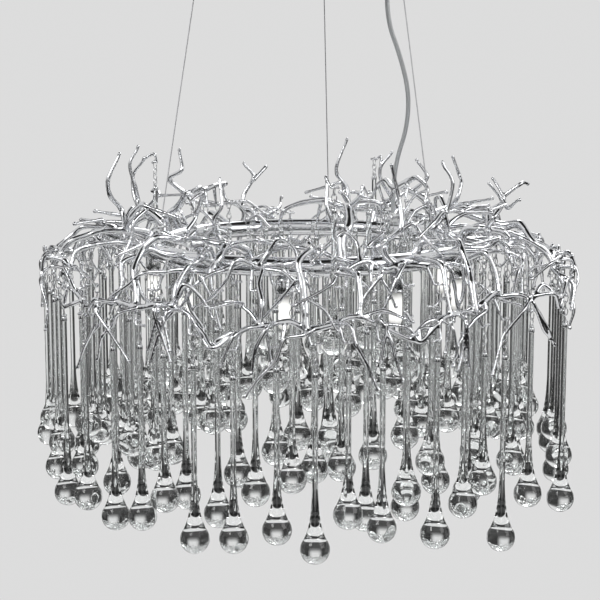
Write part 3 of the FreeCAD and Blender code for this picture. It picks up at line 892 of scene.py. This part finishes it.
def arching(start, aim, length, thickness):
    """Draws a side limb that bows to one side, sometimes with a fork."""

    def draw(loose):
        heading = aim + rng.normal(size=3) * (0.2 + 0.8 * loose)
        heading /= np.linalg.norm(heading)
        reach = length * (1 - 0.5 * loose)
        bow = np.cross(heading, rng.normal(size=3)) * reach * 0.22 + UP * reach * 0.1
        middle = start + heading * reach * 0.5 + bow
        end = start + heading * reach - bow * 0.4
        stations = through((start, thickness * 1.3), (middle, thickness), (end, thickness * 0.8))
        paths = [with_knob(stations, thickness)]
        if rng.random() < 0.45:
            aside = np.cross(heading, UP) * rng.choice([-1.0, 1.0]) + heading * 0.6 - UP * 0.2
            fork_end = middle + aside / np.linalg.norm(aside) * reach * rng.uniform(0.4, 0.7)
            fork = through((middle, thickness), (fork_end, thickness * 0.8))
            paths.append(with_knob(fork, thickness))
        return paths

    return draw


def trailing(row, start, way, length, thickness):
    """Draws a limb that goes out over the hooks, then meanders down in front of their drops.

    The hooks of a row are on a straight line, so the radius is the distance of that line, with
    a gap added, over the cosine of the angle from the row's middle.
    """
    azimuth = math.atan2(start[1], start[0])

    def draw(loose):
        drift = way * rng.uniform(0.15, 1.0) * length / row.reach
        fall = length * rng.uniform(0.45, 1.0) * (1 - 0.4 * loose)
        outside = row.reach + IN_FRONT + rng.uniform(-0.0015, 0.0015) + rng.normal() * 0.006 * loose

        def spot(turned_by, depth):
            return polar(outside / math.cos(turned_by - row.azimuth), turned_by, start[2] - fall * depth)

        bends = (
            (0.3, rng.uniform(-0.05, 0.1)),
            (rng.uniform(0.45, 0.75), rng.uniform(0.35, 0.6)),
            (1.0, 1.0),
        )
        stations = through((start, thickness * 1.3), *(
            (spot(azimuth + drift * share, depth), thickness * (1.05 - 0.25 * share))
            for share, depth in bends
        ))
        paths = [with_knob(stations, thickness)]
        if rng.random() < 0.6:
            fork_end = spot(azimuth + drift * rng.uniform(-0.5, 0.1), rng.uniform(0.6, 0.95))
            paths.append(with_knob([stations[1], *through((fork_end, thickness * 0.8))], thickness))
        return paths

    return draw


print("drawing helpers ready")

# %% [markdown]
# ## Boughs and hooks
# The main limbs follow the CAD spray, with lower boughs: a bough leaves the ring and bends out
# to the backbone, which runs above the hooks. A hook is the straight pin that a drop's first
# link hangs on.

# %% Boughs and hooks
ROOT_RISE = 0.007
KNEE_OUT = 0.032
INNER_KNEE = 0.052
BACK_FROM_HOOKS = 0.034
PIN_HALF = 0.0045
IN_FRONT = 0.0125


def tip(row, index, side):
    """Stations of a hook: down to the pin, straight along it, and a little beyond to a knob."""
    stops = ((PIN_HALF, 1.15), (0.0, 1.0), (-PIN_HALF, 1.15), (-1.5 * PIN_HALF, 1.4))
    place = row.places[index]
    return through(*((row.hook(place + side * shift), PIN_RADIUS * share) for shift, share in stops))


def bough(row, centre):
    """Draws the bough, from inside the ring tube to the backbone and on to the middle pin."""
    root = polar(RING_RADIUS, row.azimuth, RING_TOP)
    half_way = (RING_RADIUS + row.reach) / 2

    def draw(loose):
        lift = 0.020 + 0.030 * loose + rng.uniform(0.0, 0.008)
        if row.inner:
            knee = polar(half_way, row.azimuth + math.radians(4), RING_LEVEL + INNER_KNEE)
        elif not row.outer:
            knee = polar(half_way, row.azimuth - math.radians(3), RING_LEVEL + lift)
        else:
            knee = polar(RING_RADIUS + KNEE_OUT, row.azimuth + math.radians(4), RING_LEVEL + lift)
        stations = through(
            (root - UP * 0.004, ROOT * 1.2), (root + UP * ROOT_RISE, ROOT), (knee, ROOT * 0.85),
        )
        if row.outer:
            azimuth = row.azimuth - math.radians(2)
            second = polar(row.reach - BACK_FROM_HOOKS, azimuth, RING_LEVEL + lift * 0.9)
            stations += through((second, ROOT * 0.7))
        return [limb(stations + through((centre, FINE * 1.3)), tail=tip(row, len(row.places) // 2, -1))]

    return draw


def lesser_bough(row, spot, turn):
    """Draws a bough from the outside of the ring, beside the first one, to a spot on the backbone."""
    spot_reach = float(np.hypot(*spot[:2]))
    spot_azimuth = math.atan2(spot[1], spot[0])
    root_reach = RING_RADIUS + 0.6 * TUBE_RADIUS

    def draw(loose):
        azimuth = row.azimuth + turn * rng.uniform(0.6, 1.4)
        lift = rng.uniform(0.002, 0.016) + 0.034 * loose

        def between(share, turn_share, rise):
            reach = RING_RADIUS * (1 - share) + spot_reach * share
            return polar(reach, azimuth * (1 - turn_share) + spot_azimuth * turn_share, RING_LEVEL + rise)

        root = polar(root_reach, azimuth, RING_LEVEL + 0.005)
        stations = through((root, ROOT * 0.9), (between(0.4, 0.3, lift), ROOT * 0.66))
        if row.outer:
            stations += through((between(0.8, 0.7, lift * 0.9), ROOT * 0.56))
        return [limb(stations + through((spot, FINE)))]

    return draw


print("bough helpers ready")

# %% [markdown]
# ## A spray
# From the backbone a spur comes down to every pin, and a crown limb stands up beside the bough.
# The casting has more limbs than the CAD can afford: lesser boughs, arching limbs, and limbs
# that trail down in front of the drops.

# %% Sprays
SPUR_HEIGHT = 0.017
SPUR_LEAN = 0.006
SPUR_ROOT = 0.009
CROWN_OUT = 0.017
CROWN_HEIGHT = 0.104
CROWN_SIDE = math.radians(50)
CROWN_SHARES = (0.72, 0.86, 1.0)
TRAILS = (0.04, 0.28, 0.5, 0.72, 0.96)


def crown_limb(row, knee):
    """A limb that stands up beside the bough, the point half way up it, its top and its direction."""
    away = polar(1.0, row.azimuth + CROWN_SIDE * (1 if row.number % 2 else -1), 0.0)
    bend = knee + (away + UP) * CROWN_OUT
    level = RING_LEVEL + CROWN_HEIGHT * CROWN_SHARES[row.number % 3]
    crown = np.array([bend[0], bend[1], level]) - away * CROWN_OUT / 2
    bow = np.cross(away, UP) * rng.choice([-1.0, 1.0]) * rng.uniform(0.007, 0.013)
    halfway = (bend + crown) / 2 + bow
    stations = through(
        (knee, FINE * 1.2), (bend - bow * 0.4, FINE), (halfway, FINE * 0.85), (crown, FINE * 0.75),
    )
    return with_knob(stations, FINE * 0.75), halfway, crown, away


def spray_limbs(row):
    """The path of every limb of a spray, and the top of its crown."""
    inwards = SPUR_LEAN * (1 if row.inner else -1)
    offset = UP * SPUR_HEIGHT + polar(inwards, row.azimuth, 0.0)
    middle = len(row.places) // 2
    outwards = polar(1.0, row.azimuth, 0.0)

    def over(index, side):
        return row.hook(row.places[index] + side * SPUR_ROOT) + offset

    def bent(start, end):
        """A point half way, lifted and drawn in, so that the backbone isn't a straight bar."""
        return (start + end) / 2 + UP * rng.uniform(0.002, 0.008) - outwards * rng.uniform(-0.002, 0.007)

    centre, left, right = over(middle, -1), over(0, 1), over(-1, -1)

    def backbone(loose):
        """Draws the backbone from hook to hook, no more loosely with every try."""
        stations = through(
            (left, FINE), (bent(left, centre), FINE * 1.1), (centre, FINE * 1.35),
            (bent(centre, right), FINE * 1.1), (right, FINE),
        )
        return [limb(stations, head=tip(row, 0, 1)[::-1], tail=tip(row, -1, -1), rough=0.12)]

    limbs = drawn_clear(bough(row, centre), row.name, needed=True)
    reaches = np.hypot(*limbs[0][:, :2].T)
    knee_out = KNEE_OUT * (-1 if row.inner else 1)
    knee = limbs[0][np.argmin(np.abs(reaches - RING_RADIUS - knee_out)), :3]
    crown_path, halfway, crown, away = crown_limb(row, knee)
    spine = drawn_clear(backbone, row.name, needed=True)[0]
    limbs += [crown_path, spine]

    def on_spine(spot):
        """The point of the backbone that is nearest to a spot."""
        return spine[np.linalg.norm(spine[:, :3] - spot, axis=1).argmin(), :3]

    def add(drawing):
        limbs.extend(drawn_clear(drawing, row.name))

    for index in range(1, len(row.places) - 1):
        if index == middle:
            continue
        side = 1 if index < middle else -1
        spring = on_spine(over(index, side))
        elbow = (spring + row.hook(row.places[index] + side * PIN_HALF)) / 2
        limbs.append(limb(through((spring, FINE), (elbow, FINE * 0.8)), tail=tip(row, index, side)))
    if row.inner:
        return limbs, crown
    turn = math.radians(11 if row.outer else 15)
    for end, way in ((left, -1), (right, 1)):
        spot = on_spine(centre + (end - centre) * rng.uniform(0.55, 0.8))
        add(lesser_bough(row, spot, way * turn))
        aim = row.flat * way + outwards * rng.uniform(-0.8, 0.3) + UP * rng.uniform(-0.3, 0.25)
        add(arching(spot, aim, rng.uniform(0.034, 0.060), SLIM))
        aim = row.flat * way * rng.uniform(0.7, 1.1) + UP * rng.uniform(-0.1, 0.2)
        aim += outwards * rng.uniform(-0.3, 0.6)
        add(arching(knee, aim, rng.uniform(0.050, 0.078), SLIM * 1.15))
    for share in TRAILS:
        start = on_spine(left + (right - left) * (share + rng.uniform(-0.06, 0.06)))
        way = (1 if share > 0.5 else -1) * rng.choice([1, 1, -1])
        add(trailing(row, start, way, rng.uniform(0.045, 0.080), SLIM))
    if row.number % 3 == 0:
        add(arching(halfway, away + UP * 0.3, 0.036, FINE * 0.8))
    return limbs, crown


drawn = {row.name: spray_limbs(row) for row in rows}
sprays = {name: limbs for name, (limbs, crown) in drawn.items()}
crown_tops = [crown for limbs, crown in drawn.values()]
print("limbs", sum(map(len, sprays.values())))

# %% [markdown]
# ## Garlands
# On the real lamp the sprays run into each other, so the eye sees one crown and not separate
# fans. A garland is a limb from the end of one backbone to the next spray's, sagging between.

# %% Garlands
HEIGHTS_AND_SAGS = ((0.013, 0.006), (0.016, 0.018))
ahead = sorted((row for row in rows if row.outer), key=lambda row: row.azimuth)


def nearest_end(near, other, height):
    """A spot over that end of a row which is nearest to another row."""
    tips = near.hook(near.places[[0, -1]])
    return tips[np.linalg.norm(tips - other.middle, axis=1).argmin()] + UP * height


def garland(start, end, sag):
    """Draws a limb that sags from one spot to another."""
    halfway = (start + end) / 2

    def draw(loose):
        radius = np.hypot(*halfway[:2]) + rng.uniform(0.004, 0.012) - 0.02 * loose
        low = polar(radius, math.atan2(halfway[1], halfway[0]), halfway[2] - sag * (1 - loose))
        crest = low * 0.5 + start * 0.5 + UP * rng.uniform(0.0, 0.010)
        return [limb(through((start, FINE), (crest, SLIM), (low, SLIM), (end, FINE)), rough=0.24)]

    return draw


before = sum(map(len, sprays.values()))
for row, following in zip(ahead, ahead[1:] + ahead[:1]):
    for height, sag in HEIGHTS_AND_SAGS:
        start, end = nearest_end(row, following, height), nearest_end(following, row, height)
        sprays[row.name] += drawn_clear(garland(start, end, sag), row.name)
print("garlands", sum(map(len, sprays.values())) - before)

# %% [markdown]
# ## More drops
# The real lamp hangs fuller than the CAD, whose triangles are rationed, so the scene adds drops
# of the same glass. Places are drawn at random. One is taken if its drop keeps clear of the ring,
# the lamps, the limbs and the other drops, and if a new twig can reach its pin from a limb
# nearby. These drops hang still, on the body that carries the twigs.

# %% More drops
EXTRA_WANTED = 96
MOST_TRIES = 9000
TRIES_PER_CROWN = 20
STOCK = (0.150, 0.165, 0.180, 0.195)
LOWEST = float(min(row.lows.min() for row in rows))
HIGH_LEVEL = RING_LEVEL + 0.05
HIGH_PITCH = 0.050
RING_GAP = 0.017
LAMP_GAP = 0.013
LIMB_GAP = 0.0055
INNERMOST = 0.100
OUTERMOST = 0.292
SHORTEST_TWIG = 0.010
LONGEST_TWIG = 0.060
REACHES = (0.10, 0.16, 0.20, 0.29)
RISES = (0.040, 0.016, -0.006, -0.034)
lamp_spots = [solid[:, :2].mean(axis=0) for solid in solids_of("lamp_holders")]
anchors = [(name, point) for name in sprays for path in sprays[name] for point in path[::3]]
anchor_points = np.array([point for name, point in anchors])
extra = []


def likely_pin(attempt):
    """A place for a pin: at first beside the top of a crown, later anywhere, lower further out."""
    tops = crown_tops[::2]
    azimuth = rng.uniform(-math.pi, math.pi)
    if attempt < TRIES_PER_CROWN * len(tops):
        beside = polar(rng.uniform(0.012, 0.024), azimuth, rng.uniform(-0.006, 0.002))
        return tops[attempt // TRIES_PER_CROWN] + beside
    reach = math.sqrt(rng.uniform(INNERMOST**2, OUTERMOST**2))
    rise = np.interp(reach, REACHES, RISES) + rng.uniform(-0.018, 0.010)
    return polar(reach, azimuth, RING_LEVEL + rise)


def crowded(pin):
    """Whether a pin is over the ring or a lamp, or too near to another high one."""
    high = [other[0] for other in extra if min(pin[2], other[0][2]) > HIGH_LEVEL]
    return (
        any(np.linalg.norm(pin - other) < HIGH_PITCH for other in high)
        or abs(np.hypot(*pin[:2]) - RING_RADIUS) < RING_GAP
        or min(np.linalg.norm(lamp_spots - pin[:2], axis=1)) < LAMP_GAP
    )


def blocked(pin, top, low):
    """Whether a drop would hang too low, or touch a drop or a limb."""
    levels = np.linspace(low, pin[2] - 0.002, 60)
    hanging = np.column_stack([np.tile(pin[:2], (60, 1)), levels, width_at(levels, top[2], low)])
    beside = np.linalg.norm(anchor_points[:, :2] - pin[:2], axis=-1) - anchor_points[:, 3]
    level_with = (anchor_points[:, 2] < pin[2] + 0.004) & (anchor_points[:, 2] > low)
    return low < LOWEST + 0.004 or room(hanging) < CLEAR or (beside[level_with] < LIMB_GAP).any()


def twig_to(pin, flat):
    """The first new limb to a pin that clears all drops, and the number of the point that it leaves."""
    away = np.linalg.norm(anchor_points[:, :3] - pin, axis=1)
    for nearest in np.argsort(away)[:60:3]:
        start = anchor_points[nearest, :3]
        if not SHORTEST_TWIG < away[nearest] < LONGEST_TWIG or start[2] < pin[2] - 0.010:
            continue
        way = 1.0 if flat @ (start - pin) > 0 else -1.0
        stops = ((0.0032, 1.1), (0.0, 1.0), (-0.0022, 1.1), (-0.0042, 1.35))
        tail = through(*((pin + flat * way * shift, PIN_RADIUS * share) for shift, share in stops))
        bend = start * 0.4 + pin * 0.6 + UP * 0.008 + flat * way * 0.006
        path = limb(through((start, SLIM), (bend, SLIM * 0.9)), tail=tail)
        if room(path) > CLEAR:
            return path, nearest
    return None, None


for attempt in range(MOST_TRIES):
    if len(extra) >= EXTRA_WANTED:
        break
    pin = likely_pin(attempt)
    if crowded(pin):
        continue
    top = pin - UP * rng.uniform(0.017, 0.030)
    low = top[2] - float(rng.choice(STOCK))
    if blocked(pin, top, low):
        continue
    azimuth = math.atan2(pin[1], pin[0])
    flat = polar(1.0, azimuth + math.pi / 2 + rng.uniform(-0.5, 0.5), 0.0)
    path, nearest = twig_to(pin, flat)
    if path is not None:
        sprays[anchors[nearest][0]].append(path)
        extra.append((pin, top, low, flat))
        hang([pin], [top], [low], 0.0, "more")
pins, tops, lows, flats = zip(*extra)
piece("glass_more", glass_of(tops, lows), drop_glass, "frame", None)
piece("chains_more", chain_of(pins, tops, flats), fitting_chrome, "frame", None)
print("drops added", len(extra), "high", sum(pin[2] > HIGH_LEVEL for pin in pins), "after", attempt, "tries")

# %% [markdown]
# ## Melting each spray into one casting
# A voxel remesh turns the overlapping tubes of a spray into one closed skin, and a few rounds of
# smoothing round off its joints.

# %% Castings
VOXEL = 0.0011


def melted(name, limbs):
    """The limbs melted into one skin by a voxel remesh, then smoothed."""
    loose = placed(name + "_loose", mesh_from(name + "_loose", join([tube_of(path) for path in limbs])))
    remesh = loose.modifiers.new("melt", "REMESH")
    remesh.mode = "VOXEL"
    remesh.voxel_size = VOXEL
    smooth = loose.modifiers.new("smooth", "SMOOTH")
    smooth.factor = 0.5
    smooth.iterations = 4
    whole = loose.evaluated_get(bpy.context.evaluated_depsgraph_get())
    mesh = bpy.data.meshes.new_from_object(whole)
    mesh.name = name
    mesh.shade_smooth()
    bpy.data.objects.remove(loose)
    return mesh


for row in rows:
    name = "twigs_" + row.name
    mesh = melted(name, sprays[row.name])
    dress(name, mesh, twig_chrome, "frame", "branch_spray_" + row.name)
    print(name, "faces", len(mesh.polygons))

# %% [markdown]
# ## The lamps
# Small capsule lamps hang in plated cups under the ring and light the glass from above. The
# cup is turned, with a rolled rim, and the capsule is frosted, so the light spreads over all of
# it. Each cup and capsule takes its place from its own CAD solid.

# %% Lamps
CAPSULE_RADIUS = 0.007
CUP_FOOT = mm((-1.0, 4.0), (0.0, 6.0), (1.5, 7.8), (3.5, 8.5))
CUP_MOUTH = mm(
    (-4.5, 8.5), (-3.8, 7.9), (-2.6, 7.9), (-1.8, 8.5), (-0.4, 8.33), (0.0, 7.6), (-0.4, 6.2), (-4.0, 5.8),
    (-6.0, 3.0),
)
CAPSULE_NECK = mm((0.0, 4.6), (7.6, 5.0), (9.2, 5.5), (11.2, 6.6), (13.6, 7.0))


def cup_outline(length):
    """A cup from its foot down: a rounded shoulder, a straight wall, a rolled rim and a recess."""
    return np.vstack([CUP_FOOT, CUP_MOUTH + (length, 0.0)])


def capsule_outline(length):
    """A capsule from its base down: a neck, a shoulder, a straight wall and a round end."""
    turn = np.radians([0, 18, 36, 54, 70, 82])
    end = np.column_stack([length - CAPSULE_RADIUS * (1 - np.sin(turn)), CAPSULE_RADIUS * np.cos(turn)])
    return np.vstack([CAPSULE_NECK, end])


def hung_down(node, outline_for, sides):
    """A turned shape below the top of each solid of a node, as long as that solid."""
    return [turned(outline_for(float(np.ptp(s[:, 2]))), top_of(s), DOWN, sides) for s in solids_of(node)]


cups = hung_down("lamp_holders", cup_outline, 28)
piece("lamp_cups", join(cups), fitting_chrome, "frame", "lamp_holders", crease=50)
capsules = hung_down("lamp_capsules", capsule_outline, 24)
piece("lamp_capsules_lit", join(capsules), lamp_glass, "frame", "lamp_capsules")
print("lamps", len(cups), len(capsules))

# %% [markdown]
# ## Grippers, collars and nipples
# A wire gripper is a small turned barrel that lets the wire slip up through it and holds it
# against pulling down. Pressing its spring collar frees the wire. All of these are turned
# parts, and gripper and collar stand on the slanting line of their own wire.

# %% Fittings on the wires
GRIPPER_LENGTH = 0.015
GRIPPER_BORE = 0.0075
GRIPPER_OUTLINE = mm(
    (0.0, 3.0), (0.6, 3.8), (1.4, 4.0), (5.0, 4.0), (5.3, 3.7), (5.7, 3.7), (6.0, 4.0), (13.8, 4.0),
    (14.7, 3.7), (15.0, 3.1), (14.9, 2.62), (10.5, 2.6), (7.8, 2.6),
)
FOOT_OUTLINE = mm((-1.0, 3.0), (0.6, 3.3), (1.2, 3.0), (4.8, 3.0), (6.4, 2.6))
COLLAR_OUTLINE = mm(
    (0.0, 2.0), (0.3, 2.4), (0.8, 2.5), (6.8, 2.5), (7.4, 2.4), (7.9, 2.0), (8.0, 1.4), (7.7, 0.9),
    (0.1, 0.9),
)
NIPPLE_OUTLINE = mm(
    (0.0, 4.5), (2.8, 4.5), (3.1, 4.1), (3.6, 4.1), (4.0, 4.4), (7.0, 3.4), (9.2, 2.4), (10.0, 1.7),
    (9.8, 1.0),
)
grippers = []
for number, (low, high) in enumerate(wire_lines, start=1):
    up_wire = (high - low) / np.linalg.norm(high - low)
    base = low - up_wire * (GRIPPER_LENGTH - GRIPPER_BORE)
    foot = np.array([base[0], base[1], RING_TOP])
    grippers += [turned(GRIPPER_OUTLINE, base, up_wire, 24), turned(FOOT_OUTLINE, foot, UP, 20)]
    node = "release_collar_%d" % number
    start = low + up_wire * ((corners_of(node) - low) @ up_wire).min()
    collar = turned(COLLAR_OUTLINE, start, up_wire, 20, looped=True)
    body = "collar_%d" % number
    piece("collar_turned_%d" % number, collar, fitting_chrome, body, node, crease=45)
nipples = []
for solid in solids_of("wire_nipples"):
    top = np.append((solid[:, :2].min(axis=0) + solid[:, :2].max(axis=0)) / 2, solid[:, 2].max())
    nipples.append(turned(NIPPLE_OUTLINE, top, DOWN, 24))
for name, parts, node in (
    ("grippers_turned", grippers, "gripper_bodies"), ("nipples_turned", nipples, "wire_nipples"),
):
    piece(name, join(parts), fitting_chrome, "frame", node, crease=45)
print("wire fittings", len(grippers), len(nipples))

# %% [markdown]
# ## Canopy and cap nuts
# The canopy is a spun cover with a soft outer edge that hides the bracket and the mains leads.
# Two cap nuts hold it. A nut is six-sided and runs into a dome: its radius has six waves, which
# fade towards the dome.

# %% Canopy
WALL = 0.0015
EDGE = 0.006
canopy_low, canopy_high = box_of("canopy_cover")
CANOPY_RADIUS = float(canopy_high[0])
CANOPY_DEPTH = float(canopy_high[2] - canopy_low[2])


def bend(edge, inside):
    """A rounded edge from the canopy's side to its flat, so far inside the outer surface."""
    turn = np.radians(np.linspace(0, 90, 9))
    levels = -CANOPY_DEPTH + inside + edge * (1 - np.sin(turn))
    return np.column_stack([levels, CANOPY_RADIUS - inside - edge * (1 - np.cos(turn))])


flat_radii = np.linspace(0.004, CANOPY_RADIUS - EDGE, 12)[:-1]
rim = mm((-0.8, 0.0), (-0.2, -0.3), (0.0, -0.8), (-0.3, -1.5)) + (0.0, CANOPY_RADIUS)
canopy_outline = np.vstack([
    np.column_stack([np.full(11, -CANOPY_DEPTH), flat_radii]),
    bend(EDGE, 0.0)[::-1],
    rim,
    bend(EDGE - WALL, WALL),
    np.column_stack([np.full(11, -CANOPY_DEPTH + WALL), flat_radii[::-1] - 0.0002]),
])
canopy = turned(canopy_outline, (0.0, 0.0, 0.0), UP, 128)
piece("canopy_spun", canopy, canopy_chrome, "frame", "canopy_cover", crease=50)

FULL_TURN = np.arange(48) * (2 * math.pi / 48)
NUT_OUTLINE = mm((0.0, 4.0), (0.4, 4.6), (3.6, 4.6), (4.0, 3.8), (5.6, 3.4), (7.0, 2.4), (7.8, 1.0))
six_flats = 1 + np.outer([0.03, 0.07, 0.07, 0.0, 0.0, 0.0, 0.0], np.cos(6 * FULL_TURN))
nuts = [turned(NUT_OUTLINE, top_of(s), DOWN, 48, waves=six_flats) for s in solids_of("canopy_nuts")]
piece("cap_nuts", join(nuts), fitting_chrome, "frame", "canopy_nuts", crease=50)
print("canopy radius", round(CANOPY_RADIUS, 4), "nuts", len(nuts))

# %% [markdown]
# ## Bracket and terminal block
# The terminal block sits under the bracket, three poles in a row, each with two screws in their
# wells. The bracket keeps its CAD shape, which is right as it is.

# %% Terminal block
POLES = 3
POLE_GAP = 0.0003
POLE_EDGE = 0.0012
SCREW_SHARES = (0.28, 0.72)
SCREW_OUTLINE = mm((-0.2, 2.6), (0.0, 2.6), (0.0, 2.1), (1.0, 2.0), (1.0, 0.4))


def soft_box(low, high, edge):
    """A box with rounded edges: a superellipse section that is drawn in at both ends."""
    turn = np.arange(40) * (2 * math.pi / 40)
    half = (high - low) / 2
    section_x, section_y = (np.sign(wave) * np.abs(wave) ** 0.22 for wave in (np.cos(turn), np.sin(turn)))
    drawn_in = edge * np.array([1.0, 0.25, 0.0, 0.0, 0.25, 1.0])[:, None]
    rise = edge * np.array([0.0, 0.4, 1.0])
    levels = np.concatenate([rise - half[2], half[2] - rise[::-1]])[:, None]
    rows_round = np.stack([
        section_x * (half[0] - drawn_in), section_y * (half[1] - drawn_in), np.broadcast_to(levels, (6, 40)),
    ], axis=-1)
    return skin(rows_round + (high + low) / 2)


block_low, block_high = box_of("terminal_block")
pitch = (block_high[0] - block_low[0]) / POLES
blocks = []
screws = []
for pole in range(POLES):
    left = block_low[0] + pole * pitch
    low = np.array([left + POLE_GAP, *block_low[1:]])
    high = np.array([left + pitch - POLE_GAP, *block_high[1:]])
    blocks.append(soft_box(low, high, POLE_EDGE))
    for share in SCREW_SHARES:
        spot = (left + pitch / 2, block_low[1] + share * (block_high[1] - block_low[1]), block_low[2])
        screws.append(turned(SCREW_OUTLINE, spot, UP, 20))
for name, parts, material, slot, crease in (
    ("terminal_poles", blocks, terminal_plastic, "terminal_plastic", 50),
    ("terminal_screws", screws, fitting_chrome, "turned_fitting", 45),
):
    piece(name, join(parts), material, "frame", "terminal_block", crease)
bracket = frame["nodes"]["ceiling_bracket"]
bracket.data.materials.clear()
bracket.data.materials.append(zinc)
print("poles", len(blocks), "screws", len(screws))

# %% [markdown]
# ## Cable glands
# A gland grips the cable where it enters the canopy and the ring: a ribbed nut, a collar and a
# soft nose that tapers onto the cable. The ribs are eight waves round the nut.

# %% Glands
GLAND_SHARES = np.array([0.0, 0.03, 0.16, 0.20, 0.24, 0.62, 0.66, 0.70, 0.86, 0.97, 1.0])
GLAND_RADII = np.array([5.6, 6.0, 6.0, 5.2, 5.6, 5.6, 5.2, 4.8, 4.3, 3.4, 2.7]) * 0.001
ribs = 1 - np.outer([0, 0, 0, 0, 0.06, 0.06, 0, 0, 0, 0, 0], 0.5 + 0.5 * np.cos(8 * FULL_TURN))
for node, direction in (("canopy_gland", DOWN), ("ring_gland", UP)):
    low, high = box_of(node)
    start = (low + high) / 2
    start[2] = high[2] if node == "canopy_gland" else low[2]
    gland_outline = np.column_stack([GLAND_SHARES * (high[2] - low[2]), GLAND_RADII])
    gland = turned(gland_outline, start, direction, 48, waves=ribs)
    piece(node + "_moulded", gland, gland_plastic, "frame", node, crease=45)
    print(node, "length", round(float(high[2] - low[2]), 4))

# %% [markdown]
# ## Ground and dark cards
# The world is one plain pale ground for every kind of ray. Clear glass and mirrors would vanish
# in it, so a glass photographer stands dark cards round the object, just out of sight, and their
# reflections draw every edge. Here the cards are one shell round the set. It is open all round
# above the horizon, has windows in front, behind and to both sides below it, and is dark low
# down and right overhead. It is a stage piece that only reflections and refractions see.

# %% World and cards
GROUND = 0.72
CARD_DISTANCE = 3.4
world = bpy.data.worlds.new("studio")
bpy.context.scene.world = world
world.use_nodes = True
studio = Graph(world.node_tree)
backdrop = studio.node("ShaderNodeBackground", {}, {"Color": (1.0, 1.0, 1.0, 1.0), "Strength": GROUND})
studio.node("ShaderNodeOutputWorld", {}, {"Surface": backdrop.outputs[0]})

card_material, cards = blank("dark_cards")
east, north, level = (axis * (1 / CARD_DISTANCE) for axis in cards.axes())
height = level - RING_LEVEL / CARD_DISTANCE
level_share = east * east + north * north + 0.0001
diagonal = 4.0 * east * east * north * north * (level_share * level_share).power(-1.0)
upright = cards.ramp(diagonal, 0.02, 0.55, 0.0, 1.0) * cards.ramp(height, 0.06, 0.30, 1.0, 0.0)
zenith = cards.ramp(height, 0.70, 0.86, 0.0, 1.0)
below = cards.ramp(height, -0.50, -0.20, 1.0, 0.0)
shade = 1 - (1 - upright) * (1 - zenith) * (1 - below)
dark = cards.node("ShaderNodeBsdfDiffuse", {}, {"Color": (0.02, 0.02, 0.02, 1.0)})
open_air = cards.node("ShaderNodeBsdfTransparent", {}, {})
mixed = cards.node("ShaderNodeMixShader", {}, {0: shade, 1: open_air.outputs[0], 2: dark.outputs[0]})
cards.node("ShaderNodeOutputMaterial", {}, {"Surface": mixed.outputs[0]})

slope = np.linspace(math.radians(-88), math.radians(88), 40)
card_outline = np.column_stack([np.sin(slope), np.cos(slope)]) * CARD_DISTANCE
card_shell = staged("dark_cards", turned(card_outline, UP * RING_LEVEL, UP, 72), card_material)
card_shell.visible_camera = False
card_shell.visible_diffuse = False
card_shell.visible_shadow = False
print("cards at", CARD_DISTANCE, "m")

# %% [markdown]
# ## Floor and lights
# The floor is a pale disc far below the lamp. Three soft lights stand round the lamp, and each
# is turned to the middle of the ring.

# %% Floor and lights
FLOOR_LEVEL = -1.9
FLOOR_RADIUS = 1.5
FLOOR_SIDES = 96


def pale_floor(graph):
    cloud = graph.noise(6.0)
    return {
        "Base Color": graph.mix(cloud, (0.84, 0.84, 0.84), (0.88, 0.88, 0.88)),
        "Roughness": 0.6 + 0.2 * cloud,
    }


floor_outline = np.column_stack([np.zeros(12), np.linspace(0.01, FLOOR_RADIUS, 12)])
points, quads, fans = turned(floor_outline, UP * FLOOR_LEVEL, UP, FLOOR_SIDES)
disc = (points, quads[:, ::-1], fans[:FLOOR_SIDES, ::-1])
staged("floor", disc, finish("floor_paint", pale_floor))

for name, place, size, power in (
    ("key", (-1.3, -1.5, 1.1), 0.9, 14.0),
    ("fill", (1.6, -1.0, 0.5), 1.1, 8.0),
    ("rim", (0.6, 1.7, 0.9), 0.8, 12.0),
):
    light = bpy.data.lights.new(name, "AREA")
    light.size = size
    light.energy = power
    lamp = placed(name, light)
    lamp.location = place
    towards = UP * RING_LEVEL - place
    tilt = math.atan2(np.hypot(towards[0], towards[1]), -towards[2])
    lamp.rotation_euler = (tilt, 0.0, math.atan2(towards[1], towards[0]) - math.pi / 2)
print("studio ready")
